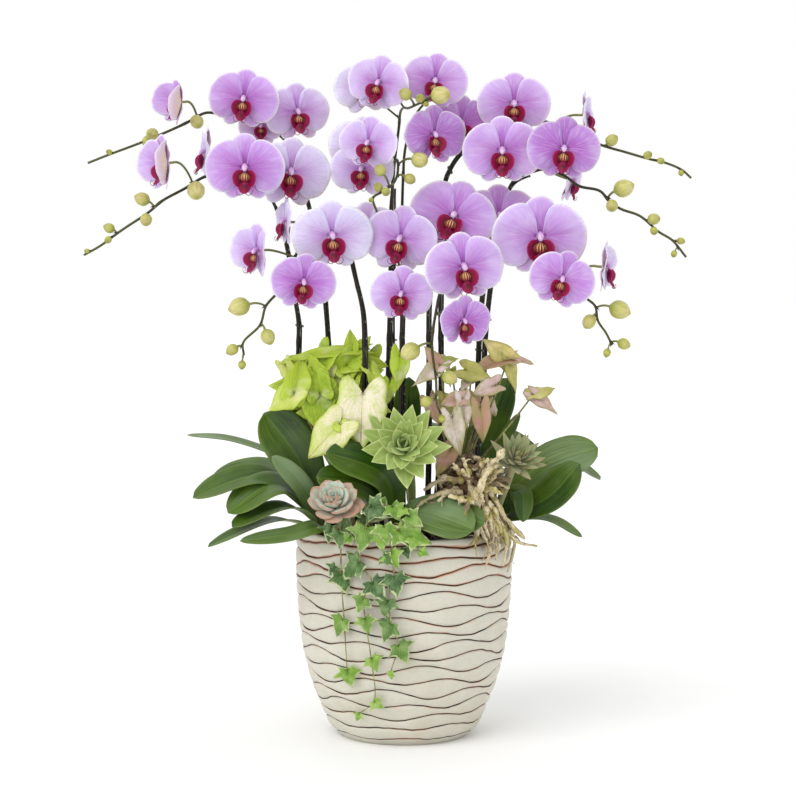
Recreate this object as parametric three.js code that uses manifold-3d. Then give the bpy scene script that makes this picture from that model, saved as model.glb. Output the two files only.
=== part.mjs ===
// A potted arrangement of moth orchids (Phalaenopsis): eleven arching flower spikes with pink-lilac blooms
// and green buds over strap leaves, with arrowhead vines, echeverias, a trailing ivy and a clump of dried
// roots, in a cream ceramic pot with wavy ridges. Millimetres, +Z up, the front faces -Y, origin at the
// centre of the pot's foot.
import * as THREE from "three";
import { mergeVertices } from "three/addons/utils/BufferGeometryUtils.js";
import Module from "manifold-3d";

const wasm = await Module();
wasm.setup();

// Driving dimensions of the pot and what fills it
const POT_HEIGHT = 258;
const WALL = 8;
const RIDGES = 17;
const RIDGE_HIGH = 250;
const RIDGE_LOW = 9;
const RIDGE_DEPTH = 1.3;
const WAVE = 4.4;
const POT_SIDES = 28;
const MEDIUM_EDGE = 243;
const MEDIUM_TOP = 250;
const CLEARANCE = 0.4;
const JOINT_GAP = 0.95;
const HOLE_DEPTH = 40;
const GOLDEN_TURN = 2.39996;
const HOLE_SIDES = 5;
// Heights of the rings of the pot's inner wall
const INNER_LEVELS = [258, 150, 60, 10];

// The pot's outer radius at heights above its foot
const POT_PROFILE = [
  [82, 0], [88, 4], [97, 20], [107, 45], [115, 65], [121, 86], [126, 108], [128.6, 126],
  [131, 146], [132.6, 167], [134, 187], [134.6, 207], [134.5, 230], [133.5, 258],
];

// Driving dimensions of the plants
const BLADE = 0.8;
const HAIR = 0.1;
// A triangle lower than this is thin, and an edge shorter than this is closed where it makes one
const THIN = 0.04;
const SHORT = 0.12;
const CROWN_TOP = 276;
const LEAF = 1.6;
const KNOB = 9;
const BLOOM_SPAN = 90;
const STUB = 9;
const STEM_FOOT = 2.7;
const STEM_TIP = 1.1;
const PEDICEL = 1.2;
const WIRE = 1.1;
const WIRE_OFFSET = 5.5;
const STEM_STEP = 62;
const WIRE_SHARE = 0.7;

// Where the front view is seen from. One pixel of the 796 pixel square view is 1.25 mm at the pot's axis.
const EYE = new THREE.Vector3(-7.5, -2500, 560);
const EYE_PITCH = THREE.MathUtils.degToRad(3.18);
const FOCAL_PIXELS = 2000;
const VIEW_CENTRE = 398;

// Each bloom: name, spike, pixel across and down, depth, turn right, tilt up and roll clockwise in degrees,
// span, cupping
const BLOOMS = [
  ["a0", "a", 180, 102, -76, -48, -5, 12, 64, 0.9],
  ["a1", "a", 244, 99, -46, -4, -5, 8, 86, 0.1],
  ["a2", "a", 297, 112, -26, 18, -5, -5, 84, 0.1],
  ["a3", "a", 261, 126, -22, 0, -5, 0, 56, 0.1],
  ["b0", "b", 166, 163, -98, -52, -5, 5, 80, 0.6],
  ["b1", "b", 245, 168, -92, 0, -5, 0, 97, 0.05],
  ["b2", "b", 290, 172, -62, 15, -5, 5, 98, 0.1],
  ["b3", "b", 207, 153, 4, -76, 0, 0, 82, 0.15],
  ["h1", "h", 332, 236, -100, 8, -5, -3, 99, 0.05],
  ["h2", "h", 303, 282, -132, 12, -8, 8, 80, 0.1],
  ["h3", "h", 258, 251, -120, -40, -5, 8, 78, 0.4],
  ["h4", "h", 287, 222, -72, -72, 0, 0, 70, 0.2],
  ["g1", "g", 401, 239, -88, -15, -3, 10, 95, 0.1],
  ["g2", "g", 402, 294, -110, -12, -5, 5, 80, 0.1],
  ["g3", "g", 367, 230, -57, 10, 5, 0, 80, 0.1],
  ["c1", "c", 379, 83, -72, -18, -5, 12, 80, 0.2],
  ["c2", "c", 364, 87, -12, 0, 0, -5, 78, 0.1],
  ["k1", "k", 369, 143, -98, -22, -5, 8, 76, 0.2],
  ["k2", "k", 362, 146, -38, -5, 0, 5, 84, 0.1],
  ["k3", "k", 362, 169, -58, -12, -5, 0, 80, 0.1],
  ["d1", "d", 435, 81, -62, 0, -5, 8, 80, 0.1],
  ["d2", "d", 433, 135, -80, 26, -5, 0, 84, 0.2],
  ["d3", "d", 461, 124, -40, 12, -3, 0, 84, 0.1],
  ["e1", "e", 514, 104, -52, 0, -5, 0, 90, 0.05],
  ["e4", "e", 585, 115, -14, 76, 0, 0, 68, 0.2],
  ["m1", "m", 502, 151, -85, 0, -5, 0, 98, 0.05],
  ["m2", "m", 564, 149, -114, -3, -5, 5, 90, 0.1],
  ["m3", "m", 571, 180, -34, 72, -20, 0, 68, 0.2],
  ["f1", "f", 499, 217, -54, 3, 10, 0, 96, 0.1],
  ["f2", "f", 540, 237, -102, 0, -5, 0, 115, 0.05],
  ["f3", "f", 562, 279, -140, 0, -6, 18, 80, 0.1],
  ["f4", "f", 604, 267, -112, 74, -5, 0, 76, 0.3],
  ["n1", "n", 454, 217, -76, -5, 12, 18, 108, 0.1],
  ["n2", "n", 463, 267, -134, 12, -5, -8, 97, 0.1],
  ["n3", "n", 462, 321, -156, 34, -8, 5, 72, 0.25],
];

// Each flower spike: its foot in the pot, then the pixels and depths that it passes
const SPIKES = {
  a: { foot: [-62, 22], path: [
    [332, 420, 15], [328, 347, 8], [325, 306, 0], [320, 260, -5], [308, 205, 0], [292, 155, 5], [278, 132, 6],
    [262, 124, 2], [240, 116, -12], [221, 114, -32], [205, 113, -48], [188, 122, -58], [171, 130, -65],
    [140, 143, -72], [108, 155, -76], [88, 163, -78]] },
  b: { foot: [-90, 2], path: [
    [308, 440, -4], [297, 385, -8], [298, 345, -10], [298, 322, -12], [293, 290, -20], [287, 250, -28],
    [279, 217, -36], [270, 197, -40], [252, 181, -48], [228, 176, -58], [207, 176, -66], [184, 189, -74],
    [162, 201, -79], [149, 212, -82], [122, 230, -86], [100, 246, -88], [84, 255, -90]] },
  h: { foot: [-36, -42], path: [
    [366, 440, -62], [364, 394, -76], [364, 350, -80], [362, 310, -76], [353, 270, -70], [346, 240, -73],
    [338, 218, -75], [324, 212, -76], [308, 228, -80], [296, 255, -90], [288, 276, -100], [278, 292, -106],
    [266, 306, -112], [260, 325, -116], [243, 343, -118], [244, 355, -120]] },
  g: { foot: [-2, -12], path: [
    [402, 440, -30], [402, 350, -46], [402, 316, -60], [400, 285, -64], [398, 258, -48], [393, 238, -40],
    [385, 226, -38]] },
  c: { foot: [-17, 14], path: [
    [390, 440, 8], [390, 390, 4], [391, 350, 2], [391, 315, 0], [392, 260, -3], [392, 218, -6], [393, 180, 0],
    [396, 150, 6], [399, 126, 8], [400, 114, -8], [403, 108, -36], [409, 108, -72], [418, 104, -92],
    [430, 99, -102]] },
  k: { foot: [-30, -8], path: [
    [386, 440, -8], [387, 390, -12], [388, 350, -16], [389, 315, -18], [390, 260, -22], [390, 218, -28],
    [392, 190, -38], [393, 170, -50], [396, 160, -64], [398, 163, -80], [397, 176, -92], [392, 185, -100],
    [382, 192, -106], [373, 198, -108], [377, 212, -110]] },
  d: { foot: [10, 16], path: [
    [402, 440, 10], [401, 350, 8], [402, 300, 4], [402, 250, 0], [402, 218, -4], [403, 180, -10],
    [405, 150, -20], [411, 126, -26], [422, 106, -26], [436, 98, -24], [450, 106, -20]] },
  e: { foot: [38, 24], path: [
    [440, 440, 18], [440, 350, 12], [440, 300, 8], [441, 250, 4], [442, 210, -2], [443, 187, -10],
    [454, 161, -20], [474, 140, -26], [497, 127, -29], [525, 120, -31], [555, 124, -38], [580, 136, -48],
    [604, 146, -54], [625, 152, -57], [649, 159, -60], [666, 163, -62], [682, 170, -64], [691, 178, -65]] },
  m: { foot: [84, 22], path: [
    [478, 440, 16], [482, 403, 12], [484, 345, 4], [488, 300, -4], [495, 250, -12], [503, 205, -25],
    [514, 181, -45], [532, 172, -62], [548, 169, -72], [565, 176, -80], [579, 186, -84], [600, 191, -88],
    [610, 202, -90], [621, 209, -92], [640, 216, -94], [659, 232, -96], [672, 240, -97], [686, 257, -98]] },
  f: { foot: [72, -8], path: [
    [472, 440, -16], [476, 403, -20], [478, 345, -28], [481, 300, -36], [488, 255, -38], [503, 230, -38],
    [520, 224, -42], [535, 232, -54], [552, 252, -76], [568, 275, -98], [585, 297, -112], [595, 306, -116],
    [598, 321, -118], [606, 333, -119], [612, 345, -120]] },
  n: { foot: [28, -18], path: [
    [428, 440, -24], [428, 350, -30], [428, 312, -34], [430, 280, -38], [436, 248, -44], [444, 240, -50],
    [447, 262, -84], [442, 284, -110], [437, 306, -124], [432, 344, -136], [436, 380, -140],
    [437, 404, -140], [441, 414, -138]] },
};

// Each bud: spike, pixel across and down, depth, length
const BUDS = [
  ["a", 197, 122, -64, 19], ["a", 152, 134, -78, 17], ["a", 147, 141, -70, 14], ["a", 109, 152, -78, 8],
  ["b", 196, 191, -90, 25], ["b", 142, 199, -84, 19], ["b", 146, 220, -92, 17], ["b", 109, 228, -88, 14],
  ["b", 108, 240, -92, 10], ["b", 87, 251, -90, 7],
  ["h", 239, 307, -118, 26], ["h", 268, 337, -124, 20], ["h", 232, 350, -124, 16], ["h", 242, 365, -122, 11],
  ["c", 405, 94, -98, 17], ["c", 420, 98, -104, 12], ["c", 441, 95, -116, 25], ["c", 426, 104, -100, 8],
  ["k", 420, 160, -106, 22], ["k", 380, 170, -114, 16], ["k", 410, 179, -100, 15], ["k", 378, 187, -114, 13],
  ["k", 386, 192, -120, 12], ["k", 371, 200, -114, 7],
  ["e", 612, 140, -60, 17], ["e", 648, 155, -64, 12], ["e", 661, 161, -66, 10], ["e", 681, 173, -66, 8],
  ["m", 624, 188, -94, 25], ["m", 612, 206, -100, 17], ["m", 654, 219, -100, 16], ["m", 654, 231, -102, 11],
  ["m", 681, 241, -98, 10], ["m", 674, 254, -102, 9],
  ["f", 620, 310, -118, 26], ["f", 589, 322, -124, 19], ["f", 624, 344, -120, 16], ["f", 607, 353, -122, 11],
  ["n", 410, 352, -142, 25], ["n", 450, 378, -146, 19], ["n", 426, 402, -144, 15], ["n", 442, 419, -138, 10],
];

// Each orchid plant's foot in the pot, and its strap leaves: pixels and depths from crown to tip, width, the
// side that the upper face looks to, fold along the midrib in degrees
const ROSETTES = {
  left: { foot: [-98, -34], leaves: [
    [[[300, 465, -58], [264, 413, -72]], 74, [0.35, -1, 0.2], 22],
    [[[272, 472, -40], [212, 480, -44]], 54, [0, -0.35, 1], 15],
    [[[262, 478, -70], [193, 498, -88]], 50, [0, -0.5, 1], 15],
    [[[276, 486, -84], [228, 513, -108]], 54, [0.1, -0.6, 1], 12],
    [[[288, 508, -92], [232, 527, -124]], 42, [0, -0.3, 1], 16],
    [[[275, 521, -90], [208, 547, -128]], 34, [0, -0.1, 1], 14]] },
  front: { foot: [-6, -60], leaves: [
    [[[384, 470, -84], [345, 440, -92]], 56, [0.2, -0.9, 0.7], 15],
    [[[365, 487, -96], [316, 474, -108]], 52, [0.1, -0.8, 0.7], 12],
    [[[426, 515, -112], [464, 528, -140]], 46, [0.1, -1, 0.8], 10],
    [[[440, 521, -102], [477, 531, -126]], 34, [0, -0.8, 1], 10]] },
  right: { foot: [102, -14], leaves: [
    [[[545, 468, -34], [598, 448, -40]], 58, [-0.25, -0.9, 0.5], 10],
    [[[548, 498, -58], [580, 464, -70]], 50, [-0.2, -0.8, 0.6], 10],
    [[[548, 519, -52], [582, 537, -62]], 26, [0, -0.1, 1], 10],
    [[[520, 493, -56], [523, 522, -78]], 30, [0.3, -0.8, 0.6], 14]] },
  back_left: { foot: [-46, 60], leaves: [
    [[[290, 462, 52], [232, 440, 50], [187, 435, 44]], 28, [0, -0.05, 1], 10],
    [[[402, 440, 56], [409, 377, 52]], 40, [0, -1, 0.3], 14],
    [[[330, 440, 120], [275, 478, 178]], 58, [-0.2, 0.6, 1], 14],
    [[[362, 432, 126], [350, 470, 200]], 52, [0, 0.5, 1], 14]] },
  back_right: { foot: [60, 60], leaves: [
    [[[482, 440, 58], [508, 378, 56]], 50, [0, -1, 0.2], 16],
    [[[498, 450, 40], [520, 413, 34]], 22, [-0.3, -1, 0.4], 12],
    [[[490, 440, 120], [545, 475, 170]], 58, [0.2, 0.6, 1], 14],
    [[[440, 425, 130], [450, 468, 198]], 56, [0, 0.5, 1], 14],
    [[[540, 455, 60], [600, 480, 92]], 50, [0, 0, 1], 14]] },
};

// Each arrowhead vine's foot in the pot and where its petioles part, and its petioles: the joint at the end
// of each, then the tip, width and facing of every blade there
const VINES = {
  lime: { foot: [-62, -62], fork: [-64, -66, 296], petioles: [
    [[363, 394, -98], [[[360, 447, -108], 68, [0, -1, 0.1]]]],
    [[340, 424, -104], [[[309, 456, -106], 50, [0, -1, 0.3]]]],
    [[326, 355, -56], [[[280, 361, -68], 28, [0, -0.5, 1]]]],
    [[294, 393, -84], [[[304, 357, -74], 40, [0.1, -1, 0]], [[270, 411, -96], 40, [-0.2, -1, 0.3]]]],
    [[320, 394, -78], [[[327, 438, -88], 58, [0, -1, 0.3]], [[312, 366, -70], 42, [0, -1, 0.2]]]],
    [[346, 366, -62], [[[322, 398, -72], 46, [0, -1, 0.4]], [[370, 337, -58], 38, [0, -1, 0]],
      [[387, 363, -56], 34, [0, -1, 0.6]]]],
    [[400, 356, -76], [[[398, 388, -90], 30, [0.2, -1, 0.2]]]]] },
  pink: { foot: [62, -40], fork: [66, -44, 316], petioles: [
    [[508, 360, -52], [[[484, 340, -62], 34, [-0.3, -1, 0.4]], [[516, 392, -60], 20, [0.3, -1, 0.2]],
      [[470, 371, -62], 28, [0, -0.8, 0.7]], [[533, 363, -50], 16, [0, -0.6, 1]]]],
    [[533, 395, -46], [[[555, 389, -50], 24, [0, -0.8, 0.7]], [[557, 413, -52], 22, [0.2, -1, 0.3]]]],
    [[440, 366, -72], [[[425, 347, -76], 22, [0, -1, 0.4]], [[458, 357, -70], 20, [0, -0.8, 0.7]],
      [[412, 386, -84], 28, [0, -0.8, 0.8]]]],
    [[462, 399, -88], [[[441, 404, -92], 26, [0, -1, 0.4]], [[465, 430, -98], 28, [0.4, -1, 0]]]],
    [[452, 417, -96], [[[460, 454, -106], 34, [-0.1, -1, 0.2]]]],
    [[480, 407, -80], [[[483, 441, -88], 30, [0.1, -1, 0.1]]]]] },
};

// Each echeveria: foot in the pot, bend of its stem, pixel and depth of its heart, turn, tilt, span, leaves,
// their width as a share of their length
const ECHEVERIAS = {
  green: { foot: [10, -34], bend: [8, -52, 322], heart: [403, 449, -108], turn: 0, tilt: 20, span: 106,
    leaves: 18, breadth: 0.36 },
  blue: { foot: [-70, -92], bend: [-73, -97, 286], heart: [334, 509, -136], turn: -4, tilt: 48, span: 72,
    leaves: 15, breadth: 0.6 },
  dusky: { foot: [100, -53], bend: [119, -61, 302], heart: [514, 463, -88], turn: 25, tilt: 40, span: 64,
    leaves: 13, breadth: 0.44 },
};

// The ivy's foot, its crown, and the leaves along each shoot: pixel, length, lean of the tip, height off the
// pot
const IVY_FOOT = [-32, -102];
const IVY_CROWN = [-32, -102, 262];
const IVY_SHOOTS = [
  [[341, 532, 26, -4, 12], [341, 574, 30, 14, 10], [344, 619, 28, -22, 10], [347, 669, 28, 12, 10]],
  [[366, 528, 36, -12, 16], [360, 562, 34, -42, 12], [372, 582, 32, 30, 15], [364, 598, 24, -22, 12],
    [365, 618, 24, 12, 11], [371, 658, 22, 22, 11], [374, 701, 18, 50, 9], [360, 713, 12, -20, 8]],
  [[398, 530, 36, 42, 14], [391, 552, 26, 20, 12], [394, 576, 32, 8, 12], [388, 600, 26, -12, 10],
    [392, 624, 30, -24, 12], [398, 645, 30, 24, 10], [391, 671, 9, 10, 8]],
];
const IVY_TOP_LEAVES = [
  [[364, 514, -118], [384, 518, -130], 30, [0, -1, 0.6]],
  [[380, 508, -124], [385, 497, -128], 22, [0, -1, 0.4]],
];

// The clump of dried roots: core, and how many roots stand out of it or hang over the rim
const ROOT_CORE = { foot: [62, -84], centre: [471, 486, -84], radii: [33, 25, 34] };
const ROOTS_OUT = 12;
const ROOTS_HANGING = 7;

// The point seen at a pixel of the front view, at a depth of y millimetres behind the pot's axis.
function seen([px, py, y]) {
  const across = (px - VIEW_CENTRE) / FOCAL_PIXELS;
  const down = (py - VIEW_CENTRE) / FOCAL_PIXELS;
  const ahead = Math.cos(EYE_PITCH) - down * Math.sin(EYE_PITCH);
  const reach = (y - EYE.y) / ahead;
  const drop = Math.sin(EYE_PITCH) + down * Math.cos(EYE_PITCH);
  return new THREE.Vector3(EYE.x + reach * across, y, EYE.z - reach * drop);
}

function potRadius(z) {
  const above = POT_PROFILE.findIndex(([, height]) => height >= z);
  if (above <= 0) return POT_PROFILE[above === 0 ? 0 : POT_PROFILE.length - 1][0];
  const [[r0, z0], [r1, z1]] = POT_PROFILE.slice(above - 1, above + 1);
  return r0 + ((r1 - r0) * (z - z0)) / (z1 - z0);
}

// The point seen at a pixel that stands a given height off the front of the pot.
function onPot(px, py, stand) {
  let point = seen([px, py, -POT_PROFILE.at(-1)[0]]);
  for (let i = 0; i < 6; i++) {
    const r = potRadius(Math.min(point.z, POT_HEIGHT)) + stand;
    point = seen([px, py, -Math.sqrt(Math.max(r * r - point.x * point.x, 0))]);
  }
  return point;
}

function seededRandom(seed) {
  let state = seed;
  return () => {
    state = (state * 1664525 + 1013904223) % 4294967296;
    return state / 4294967296;
  };
}

// A closed geometry from indexed points, turned so that its faces point out.
function closed(points, faces) {
  const volume = faces.reduce((sum, [a, b, c]) => {
    const side = new THREE.Vector3().crossVectors(points[b], points[c]);
    return sum + points[a].dot(side);
  }, 0);
  const outward = volume < 0 ? faces.map(([a, b, c]) => [a, c, b]) : faces;
  const geometry = new THREE.BufferGeometry().setFromPoints(points);
  geometry.setIndex(outward.flat());
  return geometry;
}

// A solid through rings of equal count. A ring of one point is a tip, and any other end is capped.
function loft(rings) {
  const points = rings.flat();
  const starts = rings.map((_, i) => rings.slice(0, i).flat().length);
  const count = Math.max(...rings.map((ring) => ring.length));
  const faces = [];
  const pointOf = (i, j) => (rings[i].length > 1 ? starts[i] + j : starts[i]);
  for (let i = 0; i + 1 < rings.length; i++) {
    for (let j = 0; j < count; j++) {
      const next = (j + 1) % count;
      const [a, b] = [pointOf(i, j), pointOf(i, next)];
      const [c, d] = [pointOf(i + 1, j), pointOf(i + 1, next)];
      if (a !== b) faces.push([a, b, d]);
      if (c !== d) faces.push([a, d, c]);
    }
  }
  for (const [ring, start, turn] of [[rings[0], starts[0], true], [rings.at(-1), starts.at(-1), false]]) {
    for (let j = 1; j + 1 < ring.length; j++) {
      faces.push(turn ? [start, start + j + 1, start + j] : [start, start + j, start + j + 1]);
    }
  }
  return closed(points, faces);
}

// Points of a ring round a centre, in the plane of two directions.
function ringAt(centre, side, up, radius, sides, squash = 1) {
  return Array.from({ length: sides }, (_, j) => {
    const turn = (2 * Math.PI * j) / sides;
    return centre.clone()
      .addScaledVector(side, radius * Math.cos(turn))
      .addScaledVector(up, radius * squash * Math.sin(turn));
  });
}

// A round bar along a line of points, whose radius goes from one value to another.
function bar(line, fromRadius, toRadius, sides) {
  const last = line.length - 1;
  const way = (i) => line[Math.min(i + 1, last)].clone().sub(line[Math.max(i - 1, 0)]).normalize();
  let side = new THREE.Vector3(0.9, 0.1, 0.4).cross(way(0)).normalize();
  const rings = line.map((centre, i) => {
    const up = way(i).cross(side).normalize();
    side = up.clone().cross(way(i)).normalize();
    return ringAt(centre, side, up, THREE.MathUtils.lerp(fromRadius, toRadius, i / last), sides);
  });
  return loft(rings);
}

// Evenly spaced points of a smooth curve.
function smooth(points, steps) {
  return new THREE.CatmullRomCurve3(points, false, "centripetal").getSpacedPoints(steps);
}

// A blade of even thickness over a mesh of mid-surface points.
function plate(points, faces, thickness) {
  const normals = points.map(() => new THREE.Vector3());
  const directed = new Map();
  for (const face of faces) {
    const [a, b, c] = face.map((i) => points[i]);
    const normal = b.clone().sub(a).cross(c.clone().sub(a));
    for (const i of face) normals[i].add(normal);
    face.forEach((from, k) => directed.set(from + "," + face[(k + 1) % 3], [from, face[(k + 1) % 3]]));
  }
  normals.forEach((normal) => normal.normalize());
  const count = points.length;
  const side = (way) => points.map((p, i) => p.clone().addScaledVector(normals[i], (way * thickness) / 2));
  const both = [...side(1), ...side(-1)];
  const shell = faces.flatMap(([a, b, c]) => [[a, b, c], [a + count, c + count, b + count]]);
  for (const [from, to] of directed.values()) {
    if (directed.has(to + "," + from)) continue;
    shell.push([from, from + count, to + count], [from, to + count, to]);
  }
  return closed(both, shell);
}

// A leaf blade: half its outline from joint to tip, mirrored about a folded midrib, laid along joint to tip.
// Past the joint it is lifted off what carries it.
function leafBlade(joint, tip, face, width, half, fold, lift) {
  const along = tip.clone().sub(joint);
  const length = along.length();
  along.normalize();
  const side = along.clone().cross(new THREE.Vector3(...face)).normalize();
  const normal = side.clone().cross(along).normalize();
  const edge = half.slice(1, -1);
  const outline = [half[0], half.at(-1), ...edge, ...edge.map(([u, v]) => [-u, v])];
  const rim = [0, ...edge.map((_, i) => 2 + i), 1];
  const cut = THREE.ShapeUtils.triangulateShape(rim.map((i) => new THREE.Vector2(...outline[i])), []);
  const mirrored = (i) => (i < 2 ? i : i + edge.length);
  const faces = cut.flatMap((triangle) => {
    const [a, b, c] = triangle.map((k) => rim[k]);
    return [[a, b, c], [mirrored(a), mirrored(c), mirrored(b)]];
  });
  const points = outline.map(([u, v]) => joint.clone()
    .addScaledVector(along, v * length)
    .addScaledVector(side, u * width)
    .addScaledVector(normal, Math.abs(u) * width * fold + (u || v ? lift : 0) - 0.1 * length * v * v));
  return plate(points, faces, BLADE);
}

function solidFrom(geometry) {
  const bare = geometry.clone();
  bare.deleteAttribute("normal");
  bare.deleteAttribute("uv");
  const merged = mergeVertices(bare, 1e-4);
  return new wasm.Manifold(new wasm.Mesh({
    numProp: 3,
    vertProperties: new Float32Array(merged.attributes.position.array),
    triVerts: new Uint32Array(merged.index.array),
  }));
}

// The faces without thin triangles: the short edge of each is closed, or its long edge turned to cross the
// neighbour.
function combed(points, faces) {
  const apart = (a, b) => points[a].distanceTo(points[b]);
  const turned = ([a, b, c]) => [[a, b, c], [b, c, a], [c, a, b]];
  const byLength = (face) => turned(face).sort((p, q) => apart(q[0], q[1]) - apart(p[0], p[1]));
  const area = ([a, b, c]) => points[b].clone().sub(points[a]).cross(points[c].clone().sub(points[a]));
  const height = (face) => area(face).length() / apart(...byLength(face)[0]);
  const near = (a) => new Set(faces.filter((face) => face.includes(a)).flat());
  const left = new Set();
  for (;;) {
    const thin = faces.find((face) => !left.has(face) && height(face) < THIN);
    if (!thin) return faces;
    left.add(thin);
    const [[a, b, c], , [kept, gone]] = byLength(thin);
    const shared = [...near(kept)].filter((i) => near(gone).has(i));
    if (apart(kept, gone) < SHORT && shared.length === 4) {
      faces = faces.map((face) => face.map((i) => (i === gone ? kept : i)));
      faces = faces.filter((face) => new Set(face).size === 3);
      continue;
    }
    const across = faces.find((face) => turned(face).some(([from, to]) => from === b && to === a));
    const d = across.find((i) => i !== a && i !== b);
    const pair = [[a, d, c], [d, b, c]];
    const flat = pair.every((face) => area(face).dot(area(across)) > 0);
    const thicker = Math.min(...pair.map(height)) > height(thin);
    if (near(c).has(d) || !flat || !thicker) continue;
    faces = [...faces.filter((face) => face !== thin && face !== across), ...pair];
  }
}

function geometryFrom(solid) {
  const { vertProperties, triVerts } = solid.getMesh();
  const points = [];
  for (let i = 0; i < vertProperties.length; i += 3) {
    points.push(new THREE.Vector3().fromArray(vertProperties, i));
  }
  const faces = [];
  for (let i = 0; i < triVerts.length; i += 3) faces.push([...triVerts.slice(i, i + 3)]);
  const geometry = new THREE.BufferGeometry().setFromPoints(points);
  geometry.setIndex(combed(points, faces).flat());
  geometry.computeVertexNormals();
  return geometry;
}

// A solid without the corners that change its surface by less than a hair, and without scraps or sealed
// hollows.
function tidied(solid) {
  const bodies = solid.asOriginal().simplify(HAIR).decompose();
  return bodies.reduce((largest, body) => (body.volume() > largest.volume() ? body : largest));
}

// Everything given, joined in one solid.
function joined(geometries) {
  return tidied(geometries.map(solidFrom).reduce((sum, solid) => sum.add(solid)));
}

const arrangement = new THREE.Group();
arrangement.name = "potted_moth_orchid";

function addPart(name, geometry, look) {
  const mesh = new THREE.Mesh(geometry, new THREE.MeshStandardMaterial(look));
  mesh.name = name;
  arrangement.add(mesh);
  return mesh;
}

const LOOKS = {
  pot: { color: 0xe9e4d6, roughness: 0.55, metalness: 0 },
  medium: { color: 0x3b2d20, roughness: 1, metalness: 0 },
  bloom: { color: 0xd79be0, roughness: 0.5, metalness: 0 },
  spike: { color: 0x4a4f36, roughness: 0.6, metalness: 0 },
  leaf: { color: 0x3c6b26, roughness: 0.35, metalness: 0 },
  lime: { color: 0xbfd65a, roughness: 0.5, metalness: 0 },
  pink: { color: 0xc9a48f, roughness: 0.5, metalness: 0 },
  green: { color: 0x8fae66, roughness: 0.5, metalness: 0 },
  blue: { color: 0xa9bfae, roughness: 0.5, metalness: 0 },
  dusky: { color: 0x7d8f63, roughness: 0.5, metalness: 0 },
  ivy: { color: 0x74a04a, roughness: 0.45, metalness: 0 },
  roots: { color: 0x9c8560, roughness: 0.95, metalness: 0 },
};

// The pot: its outside rows follow the wavy ridges, with a groove on each ridge line and a swell between two.
function waveHeight(line, turn) {
  const level = RIDGE_LOW + ((RIDGE_HIGH - RIDGE_LOW) * line) / (RIDGES - 1);
  const calm = Math.min(1, 0.25 + line / 5, 0.45 + (RIDGES - 1 - line) / 3);
  const wave = Math.sin(7 * turn + 1.9 * line) + 0.55 * Math.sin(4 * turn - 1.1 * line + 1);
  return level + calm * WAVE * wave;
}

function potSurface(turn, z, swell) {
  const r = potRadius(z) + swell;
  return new THREE.Vector3(r * Math.cos(turn), r * Math.sin(turn), z);
}

// The inner wall is straight between its rings.
function innerRadius(z) {
  const below = Math.max(1, INNER_LEVELS.findIndex((level) => level <= z));
  const [high, low] = [INNER_LEVELS[below - 1], INNER_LEVELS[below]];
  return THREE.MathUtils.mapLinear(z, low, high, potRadius(low), potRadius(high)) - WALL;
}

function innerRing(z, inset) {
  return Array.from({ length: POT_SIDES }, (_, j) => {
    const turn = (2 * Math.PI * j) / POT_SIDES;
    const r = innerRadius(z) - inset;
    return new THREE.Vector3(r * Math.cos(turn), r * Math.sin(turn), z);
  });
}

function makePot() {
  const turns = Array.from({ length: POT_SIDES }, (_, j) => (2 * Math.PI * j) / POT_SIDES);
  const rings = [[new THREE.Vector3(0, 0, 0)], turns.map((turn) => potSurface(turn, 0, 0))];
  for (let line = 0; line < RIDGES; line++) {
    rings.push(turns.map((turn) => potSurface(turn, waveHeight(line, turn), -RIDGE_DEPTH)));
    if (line === RIDGES - 1) break;
    rings.push(turns.map((turn) => {
      const middle = (waveHeight(line, turn) + waveHeight(line + 1, turn)) / 2;
      return potSurface(turn, middle, RIDGE_DEPTH);
    }));
  }
  rings.push(turns.map((turn) => potSurface(turn, POT_HEIGHT, 0)));
  for (const z of INNER_LEVELS) rings.push(innerRing(z, 0));
  rings.push([new THREE.Vector3(0, 0, INNER_LEVELS.at(-1))]);
  addPart("pot", loft(rings), LOOKS.pot);
}

// The growing medium, with a plain hole where each plant stands.
function makeMedium(holes) {
  const [, middle, low, floor] = INNER_LEVELS;
  const rings = [
    [new THREE.Vector3(0, 0, floor + CLEARANCE)],
    ...[floor + CLEARANCE, low, middle, MEDIUM_EDGE].map((z) => innerRing(z, CLEARANCE)),
    [new THREE.Vector3(0, 0, MEDIUM_TOP)],
  ];
  let medium = solidFrom(loft(rings));
  for (const [x, y, radius] of holes) {
    const cutter = new THREE.CylinderGeometry(radius, radius, 2 * HOLE_DEPTH, HOLE_SIDES);
    cutter.rotateX(Math.PI / 2).translate(x, y, MEDIUM_EDGE);
    medium = medium.subtract(solidFrom(cutter));
  }
  addPart("growing_medium", geometryFrom(tidied(medium)), LOOKS.medium);
}

// A plant's foot stands this far above the bottom of its hole.
const footHeight = MEDIUM_EDGE - HOLE_DEPTH + CLEARANCE;
const holes = [];

// A straight foot in its hole, up to where the plant starts.
function footBar([x, y], top, radius) {
  holes.push([x, y, radius * 1.25 + 1]);
  return bar([new THREE.Vector3(x, y, footHeight), new THREE.Vector3(x, y, top)], radius, radius, 6);
}

// One bloom about its own centre: x to its right as seen, y up, z towards the front. This is the right half
// of its outline, from the upper sepal's tip, past the petal and the lower sepal, to the notch below.
const BLOOM_EDGE = [
  [0, 38, -3], [11, 27, -1.5], [28, 30, 0], [43, 16, 0],
  [44, -4, 0], [27, -21, 0], [17, -34, -3], [0, -14, -2],
];
const PETAL_HEART = [22, 4, 1.4];

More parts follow.
